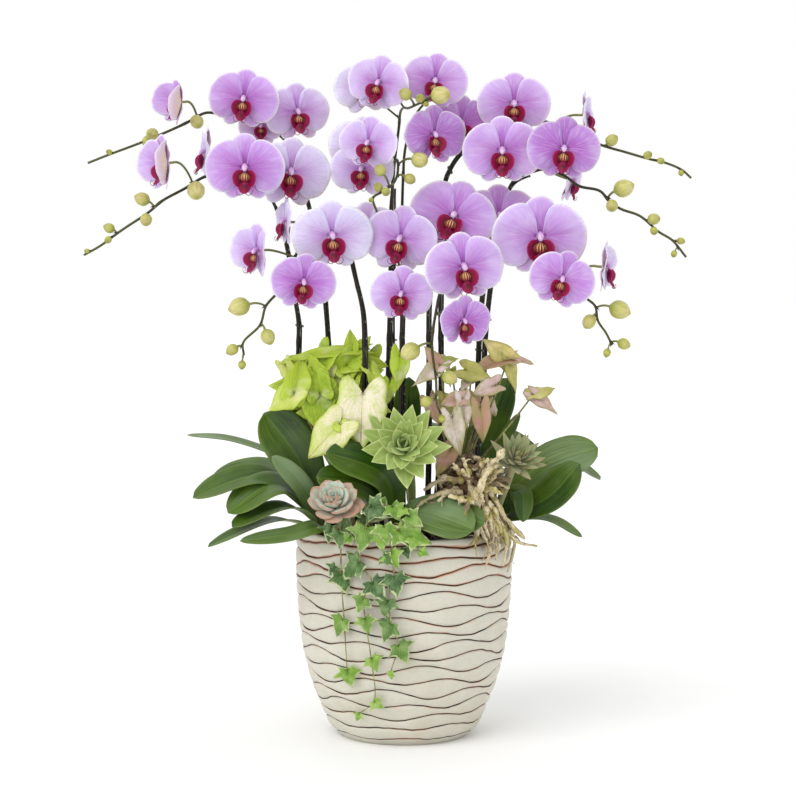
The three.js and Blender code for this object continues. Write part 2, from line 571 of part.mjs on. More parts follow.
function bloomSheet(cup) {
  const lift = ([x, y, z]) => new THREE.Vector3(x, y, z + cup * 0.016 * (x * x + 0.6 * y * y));
  const right = BLOOM_EDGE.map(lift);
  const left = right.slice(1, -1).map((p) => new THREE.Vector3(-p.x, p.y, p.z));
  const hearts = [1, -1].map((way) => lift([way * PETAL_HEART[0], PETAL_HEART[1], PETAL_HEART[2]]));
  const points = [...right, ...left, ...hearts];
  const last = right.length - 1;
  const rims = [right.map((_, i) => i), [0, ...left.map((_, i) => right.length + i), last]];
  const faces = rims.flatMap((rim, k) => rim.map((from, i) => {
    const to = rim[(i + 1) % rim.length];
    const heart = points.length - 2 + k;
    return k === 0 ? [heart, to, from] : [heart, from, to];
  }));
  return plate(points, faces, BLADE);
}

function bloomLip() {
  const section = (z, y, scale, wing) => [[-8, 7 * wing], [0, -7], [8, 7 * wing], [0, -2.5]]
    .map(([sx, sy]) => new THREE.Vector3(sx * scale, y + sy * scale, z));
  return loft([section(2.4, 1, 0.4, 0.6), section(12, -5, 1, 0.8), [new THREE.Vector3(0, -19, 17)]]);
}

function bloomColumn() {
  const [up, right] = [new THREE.Vector3(0, 1, 0), new THREE.Vector3(1, 0, 0)];
  const ring = (z, y, r) => ringAt(new THREE.Vector3(0, y, z), up, right, r, 3);
  return loft([ring(-STUB, 0, 2), ring(9, 1.5, 3.2)]);
}

// Where a bloom's own x, y and z point, from its turn, tilt and roll.
function bloomTurn(turn, tilt, roll) {
  const [a, b, c] = [turn, tilt, roll].map(THREE.MathUtils.degToRad);
  const front = new THREE.Matrix4().makeBasis(
    new THREE.Vector3(1, 0, 0), new THREE.Vector3(0, 0, 1), new THREE.Vector3(0, -1, 0));
  return new THREE.Matrix4().makeRotationZ(a)
    .multiply(new THREE.Matrix4().makeRotationX(-b))
    .multiply(new THREE.Matrix4().makeRotationY(c))
    .multiply(front);
}

const bloomBacks = {};

function makeBlooms() {
  for (const [name, spike, px, py, depth, turn, tilt, roll, span, cup] of BLOOMS) {
    const geometry = geometryFrom(joined([bloomSheet(cup), bloomLip(), bloomColumn()]));
    const mesh = addPart("bloom_" + name, geometry, LOOKS.bloom);
    const scale = span / BLOOM_SPAN;
    const basis = bloomTurn(turn, tilt, roll);
    mesh.position.copy(seen([px, py, depth]));
    mesh.quaternion.setFromRotationMatrix(basis);
    mesh.scale.setScalar(scale);
    const front = new THREE.Vector3(0, 0, 1).applyMatrix4(basis);
    const back = mesh.position.clone().addScaledVector(front, -STUB * scale - JOINT_GAP);
    (bloomBacks[spike] ??= []).push({ back, away: front.clone().negate() });
  }
}

// The point of a line nearest to a place, then a way back towards its foot.
function nearestOn(line, place, backwards) {
  const path = new THREE.CurvePath();
  line.slice(1).forEach((p, i) => path.add(new THREE.LineCurve3(line[i], p)));
  const length = path.getLength();
  const samples = Array.from({ length: 201 }, (_, i) => path.getPointAt(i / 200));
  const gaps = samples.map((p) => p.distanceTo(place));
  const best = gaps.indexOf(Math.min(...gaps));
  return samples[Math.max(0, best - Math.round((200 * backwards) / length))];
}

function pedicel(from, back, away) {
  const reach = from.distanceTo(back);
  const curve = new THREE.CubicBezierCurve3(
    from, from.clone().lerp(back, 0.3), back.clone().addScaledVector(away, reach * 0.5), back);
  return bar(curve.getSpacedPoints(2), PEDICEL, PEDICEL, 3);
}

// A bud on its own bent stalk, in one loft.
function bud(stem, place, length) {
  const from = nearestOn(stem, place, length * 0.3);
  const out = place.clone().sub(from).normalize().add(new THREE.Vector3(0, 0, -0.25)).normalize();
  const foot = place.clone().addScaledVector(out, -length / 2);
  const side = out.clone().cross(new THREE.Vector3(0.3, 1, 0.2)).normalize();
  const up = out.clone().cross(side);
  const large = length > 20;
  const sides = large ? 5 : 4;
  const at = (share) => foot.clone().addScaledVector(out, share * length);
  const ring = (share, radius) => ringAt(at(share), side, up, radius, sides);
  const stalk = Math.min(PEDICEL, length * 0.12);
  const body = large ? [[0.25, 0.36], [0.62, 0.42]] : [[0.45, 0.44]];
  return loft([
    ringAt(from, side, up, stalk, sides),
    ring(0, stalk * 1.3),
    ...body.map(([share, radius]) => ring(share, radius * length)),
    [at(1)],
  ]);
}

function makeSpikes() {
  for (const [name, { foot, path }] of Object.entries(SPIKES)) {
    const [x, y] = foot;
    const start = [footHeight, MEDIUM_TOP, MEDIUM_TOP + 14].map((z) => new THREE.Vector3(x, y, z));
    const curve = new THREE.CatmullRomCurve3([...start.slice(1), ...path.map(seen)], false, "centripetal");
    const stem = [start[0], ...curve.getSpacedPoints(Math.round(curve.getLength() / STEM_STEP))];
    const pieces = [bar(stem, STEM_FOOT, STEM_TIP, 4)];
    const wire = stem.slice(0, Math.round(stem.length * WIRE_SHARE)).map((p, i) => {
      const way = stem[i + 1].clone().sub(stem[Math.max(i - 1, 0)]).normalize();
      const level = Math.min(1, 1.2 * Math.hypot(way.x, way.y));
      return p.clone().add(new THREE.Vector3(WIRE_OFFSET * (1 - level), 0, -WIRE_OFFSET * level));
    });
    wire[0] = stem[0].clone().lerp(stem[1], 0.2);
    pieces.push(bar(wire, WIRE, WIRE, 3));
    for (const { back, away } of bloomBacks[name] ?? []) {
      pieces.push(pedicel(nearestOn(stem, back, 10), back, away));
    }
    for (const [spike, px, py, depth, length] of BUDS) {
      if (spike === name) pieces.push(bud(stem, seen([px, py, depth]), length));
    }
    holes.push([x + WIRE_OFFSET / 2, y, WIRE_OFFSET / 2 + STEM_FOOT + 3]);
    addPart("spike_" + name, geometryFrom(joined(pieces)), LOOKS.spike);
  }
}

// A strap leaf with a keeled section, from crown to rounded tip.
const STRAP = [[0, 0.14], [0.3, 0.6], [0.62, 1], [0.88, 0.74]];
const NARROW_STRAP = [[0, 0.2], [0.4, 0.9], [0.8, 0.8]];

function strapLeaf(start, path, width, face, fold) {
  const curve = new THREE.CatmullRomCurve3([start, ...path.map(seen)], false, "centripetal");
  const angle = THREE.MathUtils.degToRad(fold);
  const facing = new THREE.Vector3(...face);
  const points = (width < 40 ? NARROW_STRAP : STRAP).flatMap(([share, broad]) => {
    const centre = curve.getPointAt(share);
    const way = curve.getTangentAt(share);
    const side = way.clone().cross(facing).normalize();
    const normal = side.clone().cross(way).normalize();
    const reach = (width / 2) * broad;
    const edge = (hand) => centre.clone()
      .addScaledVector(side, hand * reach * Math.cos(angle))
      .addScaledVector(normal, reach * Math.sin(angle));
    return [edge(1), centre, edge(-1)];
  });
  const last = points.length - 3;
  const tip = points.push(curve.getPointAt(1)) - 1;
  const faces = [[last, last + 1, tip], [last + 1, last + 2, tip]];
  for (let i = 0; i < last; i += 3) {
    faces.push([i, i + 1, i + 3], [i + 1, i + 4, i + 3], [i + 1, i + 2, i + 5], [i + 1, i + 5, i + 4]);
  }
  return plate(points, faces, LEAF);
}

function makeRosettes() {
  for (const [name, { foot, leaves }] of Object.entries(ROSETTES)) {
    const pieces = [footBar(foot, CROWN_TOP, 8)];
    leaves.forEach(([path, width, face, fold], i) => {
      const start = new THREE.Vector3(...foot, CROWN_TOP - 3 - 3 * i);
      const out = seen(path[0]).sub(start).setZ(0).normalize();
      pieces.push(strapLeaf(start.addScaledVector(out, 5), path, width, face, fold));
    });
    addPart("orchid_leaves_" + name, geometryFrom(joined(pieces)), LOOKS.leaf);
  }
}

// Half outlines from joint to tip, as shares of the width across and of the length along
const ARROWHEAD = [[0, 0], [0.4, -0.16], [0.44, 0.22], [0, 1]];
const IVY = [[0, 0], [0.5, 0], [0.26, 0.5], [0, 1]];

function makeVines() {
  for (const [name, { foot, fork, petioles }] of Object.entries(VINES)) {
    const [low, high] = [new THREE.Vector3(...foot, MEDIUM_TOP + 2), new THREE.Vector3(...fork)];
    const knob = new THREE.IcosahedronGeometry(KNOB).translate(...fork);
    const pieces = [footBar(foot, MEDIUM_TOP + 8, 4), bar([low, high], 3, 3, 4), knob];
    for (const [joint, blades] of petioles) {
      const from = seen(joint);
      const start = high.clone().add(from.clone().sub(high).setLength(KNOB * 0.6));
      const behind = new THREE.Vector3(...blades[0][2]).normalize().multiplyScalar(-5);
      pieces.push(bar([start, start.clone().lerp(from, 0.65).add(behind), from], 1.5, 1.5, 3));
      for (const [tip, width, face] of blades) {
        pieces.push(leafBlade(from, seen(tip), face, width, ARROWHEAD, 0.22, 3));
      }
    }
    addPart("arrowhead_vine_" + name, geometryFrom(joined(pieces)), LOOKS[name]);
  }
}

// A rosette of thick pointed leaves in a spiral, the outer ones spread and the inner ones upright.
function makeEcheverias() {
  for (const [name, plant] of Object.entries(ECHEVERIAS)) {
    const heart = seen(plant.heart);
    const basis = bloomTurn(plant.turn, plant.tilt, 0);
    const axis = new THREE.Vector3(0, 0, 1).applyMatrix4(basis);
    const bend = new THREE.Vector3(...plant.bend);
    const pieces = [footBar(plant.foot, MEDIUM_TOP + 8, 4)];
    const start = new THREE.Vector3(plant.foot[0], plant.foot[1], MEDIUM_TOP);
    const crown = heart.clone().addScaledVector(axis, plant.span * 0.12);
    pieces.push(bar([start, bend, heart, crown], 4, plant.span * 0.07, 5));
    for (let i = 0; i < plant.leaves; i++) {
      const share = i / (plant.leaves - 1);
      const length = (plant.span / 2) * (1 - 0.6 * share);
      const rise = THREE.MathUtils.degToRad(4 + 66 * share);
      const round = i * GOLDEN_TURN;
      const level = Math.cos(rise);
      const out = new THREE.Vector3(Math.cos(round) * level, Math.sin(round) * level, Math.sin(rise));
      out.applyMatrix4(basis);
      const side = axis.clone().cross(out).normalize();
      const up = out.clone().cross(side).normalize();
      const base = heart.clone().addScaledVector(axis, plant.span * 0.1 * share);
      const at = (along) => base.clone().addScaledVector(out, along * length);
      const reach = (broad) => (broad * plant.breadth * length) / 2;
      const ring = (along, broad) => ringAt(at(along), side, up, reach(broad), 4, 0.3);
      pieces.push(loft([ring(0.06, 0.24), ring(0.58, 1), [at(1)]]));
    }
    addPart("echeveria_" + name, geometryFrom(joined(pieces)), LOOKS[name]);
  }
}

function makeIvy() {
  const crown = new THREE.Vector3(...IVY_CROWN);
  const pieces = [footBar(IVY_FOOT, IVY_CROWN[2] + 2, 4)];
  for (const shoot of IVY_SHOOTS) {
    const joints = shoot.map(([px, py, , , stand]) => onPot(px, py, stand));
    pieces.push(bar([crown, onPot(shoot[0][0], 524, 12), ...joints], 1.6, 1.4, 3));
    shoot.forEach(([px, py, length, lean, stand], i) => {
      const turn = THREE.MathUtils.degToRad(lean);
      const size = length / 1.25;
      const tip = onPot(px + Math.sin(turn) * size, py + Math.cos(turn) * size * 0.85, stand + 1);
      const face = [joints[i].x / 260, -1, 0.25];
      pieces.push(leafBlade(joints[i], tip, face, length * 1.05, IVY, 0.15, 2.5));
    });
  }
  for (const [joint, tip, width, face] of IVY_TOP_LEAVES) {
    const [from, to] = [seen(joint), seen(tip)];
    pieces.push(leafBlade(from, to, face, width, IVY, 0.15, 2.5), bar([crown, from], 1, 1, 3));
  }
  addPart("ivy", geometryFrom(joined(pieces)), LOOKS.ivy);
}

function makeRoots() {
  const random = seededRandom(11);
  const centre = seen(ROOT_CORE.centre);
  const core = new THREE.IcosahedronGeometry(1, 1);
  const position = core.attributes.position;
  for (let i = 0; i < position.count; i++) {
    const p = new THREE.Vector3().fromBufferAttribute(position, i);
    const bump = 1 + 0.16 * Math.sin(7 * p.x + 3 * p.z) * Math.cos(5 * p.y - 4 * p.z);
    p.multiplyScalar(bump).multiply(new THREE.Vector3(...ROOT_CORE.radii)).add(centre);
    position.setXYZ(i, p.x, p.y, p.z);
  }
  const pieces = [core, footBar(ROOT_CORE.foot, centre.z - 8, 5)];
  for (let i = 0; i < ROOTS_OUT; i++) {
    const round = i * GOLDEN_TURN;
    const rise = -0.35 + 1.25 * random();
    const level = Math.cos(rise);
    const ahead = -Math.abs(Math.sin(round));
    const out = new THREE.Vector3(Math.cos(round) * level, ahead * level, Math.sin(rise));
    const length = 40 + 24 * random();
    const at = (share) => centre.clone().addScaledVector(out, length * share);
    const middle = at(0.6).add(new THREE.Vector3(0, 0, 7 * random()));
    pieces.push(bar([at(0.35), middle, at(1)], 4, 1.6, 3));
  }
  for (let i = 0; i < ROOTS_HANGING; i++) {
    const share = i / (ROOTS_HANGING - 1);
    const px = 480 + 30 * share + 5 * (random() - 0.5);
    const low = 552 + 20 * random();
    const stand = 7 + 6 * random();
    const start = centre.clone().add(new THREE.Vector3(-4 + 22 * share, -14, -10));
    const end = onPot(px + 4 * (random() - 0.5), low, stand);
    pieces.push(bar(smooth([start, onPot(px, 526, stand + 4), end], 3), 3.4, 1.4, 3));
  }
  addPart("root_clump", geometryFrom(joined(pieces)), LOOKS.roots);
}

makePot();
makeBlooms();
makeSpikes();
makeRosettes();
makeVines();
makeEcheverias();
makeIvy();
makeRoots();
makeMedium(holes);

export default arrangement;
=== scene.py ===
# The looks of a potted arrangement of moth orchids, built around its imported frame. The tables and lengths
# are in millimetres, in the frame's own axes, and each piece is scaled to metres at the end.
import math
from functools import cached_property

import bpy
import numpy as np
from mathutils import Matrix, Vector


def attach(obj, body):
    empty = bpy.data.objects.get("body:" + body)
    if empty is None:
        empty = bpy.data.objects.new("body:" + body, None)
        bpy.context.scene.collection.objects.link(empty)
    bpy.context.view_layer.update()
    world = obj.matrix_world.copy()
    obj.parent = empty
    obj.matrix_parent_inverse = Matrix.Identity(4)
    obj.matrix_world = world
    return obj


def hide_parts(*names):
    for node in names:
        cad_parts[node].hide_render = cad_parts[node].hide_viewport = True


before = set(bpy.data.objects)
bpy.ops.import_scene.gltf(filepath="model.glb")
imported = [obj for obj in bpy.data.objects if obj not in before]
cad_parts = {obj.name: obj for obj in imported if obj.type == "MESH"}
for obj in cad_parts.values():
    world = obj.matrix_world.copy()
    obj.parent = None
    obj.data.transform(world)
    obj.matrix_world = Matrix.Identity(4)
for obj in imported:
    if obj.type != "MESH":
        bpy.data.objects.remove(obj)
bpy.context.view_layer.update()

MM = 0.001
TURN = 2 * math.pi
GOLDEN_TURN = 2.39996
SCREEN_GAMMA = 2.2

# The view of the photograph, which is square: a pixel is PIXEL millimetres at the pot's axis, and the view ends
# VIEW_END metres away
EYE = np.array([-7.5, -2500.0, 560.0])
EYE_PITCH = math.radians(3.18)
FOCAL_PIXELS = 2000.0
VIEW_CENTRE = 398.0
VIEW_PIXELS = 796.0
PIXEL = 1.25
SENSOR = 36.0
VIEW_END = 200

# The studio: how bright the surroundings are in front and behind, each lamp's direction, breadth in degrees and
# power, and half the floor's width in metres
FRONT_GLOW = 0.72
BACK_GLOW = 1.0
KEY = ((0.5, 0.66, -0.7), 50, 1.35)
FILL = ((-0.8, 0.6, -0.25), 70, 0.3)
FLOOR_HALF = 60.0

# The pot and its filling
POT_HEIGHT = 258.0
POT_SIDES = 320
WALL = 8.0
RIDGES = 17
RIDGE_HIGH = 250.0
RIDGE_LOW = 9.0
RIDGE_DEPTH = 1.3
WAVE = 4.4
RUSTY_FROM = 12
MEDIUM_EDGE = 243.0
MEDIUM_TOP = 250.0
CHIPS = 620
CHIP_CLEARANCE = 9
CHIP_TAPER = np.array([0.5, 0.95, 1, 0.85, 0.4])
CHIPS_WITHIN = 119.0
CHIPS_REACH = 121.0
MEDIUM_RADIUS = 122.0
FOOT_HEIGHT = 203.4
CROWN_TOP = 276.0
POT_PROFILE = [
    (82, 0), (88, 4), (97, 20), (107, 45), (115, 65), (121, 86), (126, 108), (128.6, 126),
    (131, 146), (132.6, 167), (134, 187), (134.6, 207), (134.5, 230), (133.5, 258),
]

# The plants
BLOOM_SPAN = 90.0
STUB = 9.0
STEM_POINTS = 190
STEM_FOOT = 2.9
STEM_TIP = 1.45
JOINT_FIRST = 90
JOINT_EVERY = 68
WIRE_RADIUS = 1.4
WIRE_OFFSET = 4.0
WIRE_SHARE = 0.7
CLIP_FIRST = 46
CLIP_EVERY = 34
CLIP_RADIUS = 0.55
KNOB = 9.0
WIDE_BLADE = 55

# The materials of a bloom, of a spike and of a leafy plant, by their place in the piece's list
PETAL, LIP, CALLUS, COLUMN = range(4)
STEM, STALK, WIRE, CLIP = range(4)
LEAF, LEAF_STEM = range(2)

# How thick a blade's rim is as a share of its middle, and how far a bar's end bulges as a share of its width
RIM_SHARE = 0.4
END_BULGE = 0.4

# Each bloom, named after its spike: pixel across and down, depth, turn right, tilt up and roll clockwise in
# degrees, span, cupping, paleness
BLOOMS = {
    "a0": (180, 102, -76, -48, -5, 12, 64, 0.9, 0.15),
    "a1": (244, 99, -46, -4, -5, 8, 86, 0.1, 0.1),
    "a2": (297, 112, -26, 18, -5, -5, 84, 0.1, 0.6),
    "a3": (261, 126, -22, 0, -5, 0, 56, 0.1, 0.7),
    "b0": (166, 163, -98, -52, -5, 5, 80, 0.6, 0.35),
    "b1": (245, 168, -92, 0, -5, 0, 97, 0.05, 0.05),
    "b2": (290, 172, -62, 15, -5, 5, 98, 0.1, 0.9),
    "b3": (207, 153, 4, -76, 0, 0, 82, 0.15, 0.9),
    "h1": (332, 236, -100, 8, -5, -3, 99, 0.05, 0.95),
    "h2": (303, 282, -132, 12, -8, 8, 80, 0.1, -0.1),
    "h3": (258, 251, -120, -40, -5, 8, 78, 0.4, 0.6),
    "h4": (287, 222, -72, -72, 0, 0, 70, 0.2, 0.8),
    "g1": (401, 239, -88, -15, -3, 10, 95, 0.1, 0.45),
    "g2": (402, 294, -110, -12, -5, 5, 80, 0.1, 0.3),
    "g3": (367, 230, -57, 10, 5, 0, 80, 0.1, 0.8),
    "c1": (379, 83, -72, -18, -5, 12, 80, 0.2, 0.5),
    "c2": (364, 87, -12, 0, 0, -5, 78, 0.1, 1.0),
    "k1": (369, 143, -98, -22, -5, 8, 76, 0.2, 0.5),
    "k2": (362, 146, -38, -5, 0, 5, 84, 0.1, 1.0),
    "k3": (362, 169, -58, -12, -5, 0, 80, 0.1, 0.75),
    "d1": (435, 81, -62, 0, -5, 8, 80, 0.1, 0.2),
    "d2": (433, 135, -80, 26, -5, 0, 84, 0.2, -0.4),
    "d3": (461, 124, -40, 12, -3, 0, 84, 0.1, 0.0),
    "e1": (514, 104, -52, 0, -5, 0, 90, 0.05, 0.3),
    "e4": (585, 115, -14, 76, 0, 0, 68, 0.2, 1.0),
    "m1": (502, 151, -85, 0, -5, 0, 98, 0.05, 0.15),
    "m2": (564, 149, -114, -3, -5, 5, 90, 0.1, -0.5),
    "m3": (571, 180, -34, 72, -20, 0, 68, 0.2, 0.8),
    "f1": (499, 217, -54, 3, 10, 0, 96, 0.1, 0.2),
    "f2": (540, 237, -102, 0, -5, 0, 115, 0.05, 0.35),
    "f3": (562, 279, -140, 0, -6, 18, 80, 0.1, -0.15),
    "f4": (604, 267, -112, 74, -5, 0, 76, 0.3, 0.9),
    "n1": (454, 217, -76, -5, 12, 18, 108, 0.1, 0.15),
    "n2": (463, 267, -134, 12, -5, -8, 97, 0.1, 0.25),
    "n3": (462, 321, -156, 34, -8, 5, 72, 0.25, -0.35),
}

# Half-open blooms: how much more the side that is nearer to the viewer is folded over
FOLDED = {"a0": 1.0, "b0": 0.9, "h3": 0.7}

# Each flower spike: its foot in the pot, then the pixels and depths that it passes
SPIKES = {
    "a": ((-62, 22), [
        (332, 420, 15), (328, 347, 8), (325, 306, 0), (320, 260, -5), (308, 205, 0), (292, 155, 5),
        (278, 132, 6), (262, 124, 2), (240, 116, -12), (221, 114, -32), (205, 113, -48), (188, 122, -58),
        (171, 130, -65), (140, 143, -72), (108, 155, -76), (88, 163, -78)]),
    "b": ((-90, 2), [
        (308, 440, -4), (297, 385, -8), (298, 345, -10), (298, 322, -12), (293, 290, -20), (287, 250, -28),
        (279, 217, -36), (270, 197, -40), (252, 181, -48), (228, 176, -58), (207, 176, -66),
        (184, 189, -74), (162, 201, -79), (149, 212, -82), (122, 230, -86), (100, 246, -88),
        (84, 255, -90)]),
    "h": ((-36, -42), [
        (366, 440, -62), (364, 394, -76), (364, 350, -80), (362, 310, -76), (353, 270, -70),
        (346, 240, -73), (338, 218, -75), (324, 212, -76), (308, 228, -80), (296, 255, -90),
        (288, 276, -100), (278, 292, -106), (266, 306, -112), (260, 325, -116), (243, 343, -118),
        (244, 355, -120)]),
    "g": ((-2, -12), [
        (402, 440, -30), (402, 350, -46), (402, 316, -60), (400, 285, -64), (398, 258, -48),
        (393, 238, -40), (385, 226, -38)]),
    "c": ((-17, 14), [
        (390, 440, 8), (390, 390, 4), (391, 350, 2), (391, 315, 0), (392, 260, -3), (392, 218, -6),
        (393, 180, 0), (396, 150, 6), (399, 126, 8), (400, 114, -8), (403, 108, -36), (409, 108, -72),
        (418, 104, -92), (430, 99, -102)]),
    "k": ((-30, -8), [
        (386, 440, -8), (387, 390, -12), (388, 350, -16), (389, 315, -18), (390, 260, -22), (390, 218, -28),
        (392, 190, -38), (393, 170, -50), (396, 160, -64), (398, 163, -80), (397, 176, -92),
        (392, 185, -100), (382, 192, -106), (373, 198, -108), (377, 212, -110)]),
    "d": ((10, 16), [
        (402, 440, 10), (401, 350, 8), (402, 300, 4), (402, 250, 0), (402, 218, -4), (403, 180, -10),
        (405, 150, -20), (411, 126, -26), (422, 106, -26), (436, 98, -24), (450, 106, -20)]),
    "e": ((38, 24), [
        (440, 440, 18), (440, 350, 12), (440, 300, 8), (441, 250, 4), (442, 210, -2), (443, 187, -10),
        (454, 161, -20), (474, 140, -26), (497, 127, -29), (525, 120, -31), (555, 124, -38),
        (580, 136, -48), (604, 146, -54), (625, 152, -57), (649, 159, -60), (666, 163, -62),
        (682, 170, -64), (691, 178, -65)]),
    "m": ((84, 22), [
        (478, 440, 16), (482, 403, 12), (484, 345, 4), (488, 300, -4), (495, 250, -12), (503, 205, -25),
        (514, 181, -45), (532, 172, -62), (548, 169, -72), (565, 176, -80), (579, 186, -84),
        (600, 191, -88), (610, 202, -90), (621, 209, -92), (640, 216, -94), (659, 232, -96),
        (672, 240, -97), (686, 257, -98)]),
    "f": ((72, -8), [
        (472, 440, -16), (476, 403, -20), (478, 345, -28), (481, 300, -36), (488, 255, -38),
        (503, 230, -38), (520, 224, -42), (535, 232, -54), (552, 252, -76), (568, 275, -98),
        (585, 297, -112), (595, 306, -116), (598, 321, -118), (606, 333, -119), (612, 345, -120)]),
    "n": ((28, -18), [
        (428, 440, -24), (428, 350, -30), (428, 312, -34), (430, 280, -38), (436, 248, -44),
        (444, 240, -50), (447, 262, -84), (442, 284, -110), (437, 306, -124), (432, 344, -136),
        (436, 380, -140), (437, 404, -140), (441, 414, -138)]),
}

# Each spike's buds: pixel across and down, depth, length
BUDS = {
    "a": [(197, 122, -64, 19), (152, 134, -78, 17), (147, 141, -70, 14), (109, 152, -78, 8)],
    "b": [(196, 191, -90, 25), (142, 199, -84, 19), (146, 220, -92, 17), (109, 228, -88, 14),
          (108, 240, -92, 10), (87, 251, -90, 7)],
    "h": [(239, 307, -118, 26), (268, 337, -124, 20), (232, 350, -124, 16), (242, 365, -122, 11)],
    "c": [(405, 94, -98, 17), (420, 98, -104, 12), (441, 95, -116, 25), (426, 104, -100, 8)],
    "k": [(420, 160, -106, 22), (380, 170, -114, 16), (410, 179, -100, 15), (378, 187, -114, 13),
          (386, 192, -120, 12), (371, 200, -114, 7)],
    "e": [(612, 140, -60, 17), (648, 155, -64, 12), (661, 161, -66, 10), (681, 173, -66, 8)],
    "m": [(624, 188, -94, 25), (612, 206, -100, 17), (654, 219, -100, 16), (654, 231, -102, 11),
          (681, 241, -98, 10), (674, 254, -102, 9)],
    "f": [(620, 310, -118, 26), (589, 322, -124, 19), (624, 344, -120, 16), (607, 353, -122, 11)],
    "n": [(410, 352, -142, 25), (450, 378, -146, 19), (426, 402, -144, 15), (442, 419, -138, 10)],
}

# Each orchid plant's foot, and its strap leaves: pixels and depths, width, the side that the upper face
# looks to, fold along the midrib in degrees, paleness, which is partly the leaf's own greyer colour and
# partly painted light and shade on the leaf
ROSETTES = {
    "left": ((-98, -34), [
        ([(300, 465, -58), (264, 413, -72)], 74, (0.35, -1, 0.2), 22, 0.3),
        ([(272, 472, -40), (212, 480, -44)], 54, (0, -0.35, 1), 15, 0.55),
        ([(262, 478, -70), (193, 498, -88)], 50, (0, -0.5, 1), 15, 0.25),
        ([(276, 486, -84), (228, 513, -108)], 54, (0.1, -0.6, 1), 12, 0.5),
        ([(288, 508, -92), (232, 527, -124)], 42, (0, -0.3, 1), 16, 0.0),
        ([(275, 521, -90), (208, 547, -128)], 34, (0, -0.1, 1), 14, 0.6),
        ([(302, 486, -84), (272, 456, -98)], 30, (0.3, -1, 0.2), 16, 1.0),
        ([(318, 527, -108), (288, 535, -132), (240, 541, -144)], 26, (0, -0.8, 0.7), 10, 0.7)]),
    "front": ((-6, -60), [
        ([(384, 470, -84), (345, 440, -92)], 56, (0.2, -0.9, 0.7), 15, 0.2),
        ([(366, 488, -96), (316, 477, -108)], 46, (0.1, -0.8, 0.7), 12, 0.1),
        ([(418, 513, -108), (474, 530, -143)], 60, (0.1, -1, 0.8), 10, 1.0),
        ([(440, 516, -104), (484, 524, -132)], 50, (0, -0.9, 0.8), 10, 0.5),
        ([(410, 511, -88), (478, 507, -100)], 40, (0.1, -0.8, 0.9), 10, 0.7),
        ([(384, 477, -100), (326, 452, -115)], 51, (0.2, -0.9, 0.6), 14, 0.05)]),
    "right": ((102, -14), [
        ([(545, 468, -34), (598, 448, -40)], 58, (-0.25, -0.9, 0.5), 10, 0.85),
        ([(548, 498, -58), (580, 464, -70)], 50, (-0.2, -0.8, 0.6), 10, 0.1),
        ([(548, 519, -52), (582, 537, -62)], 26, (0, -0.35, 1), 10, 0.8),
        ([(520, 493, -56), (523, 522, -78)], 30, (0.3, -0.8, 0.6), 14, 0.1)]),
    "back_left": ((-46, 60), [
        ([(290, 462, 52), (232, 440, 50), (187, 435, 44)], 28, (0, -0.28, 1), 10, 0.9),
        ([(402, 440, 56), (409, 377, 52)], 40, (0, -1, 0.3), 14, 0.0),
        ([(330, 440, 120), (275, 478, 178)], 58, (-0.2, 0.6, 1), 14, 0.3),
        ([(362, 432, 126), (350, 470, 200)], 52, (0, 0.5, 1), 14, 0.2)]),
    "back_right": ((60, 60), [
        ([(482, 440, 58), (508, 378, 56)], 50, (0, -1, 0.2), 16, 0.1),
        ([(498, 450, 40), (520, 413, 34)], 22, (-0.3, -1, 0.4), 12, 0.5),
        ([(490, 440, 120), (545, 475, 170)], 58, (0.2, 0.6, 1), 14, 0.3),
        ([(440, 425, 130), (450, 468, 198)], 56, (0, 0.5, 1), 14, 0.2),
        ([(540, 455, 60), (600, 480, 92)], 50, (0, 0, 1), 14, 0.4)]),
}

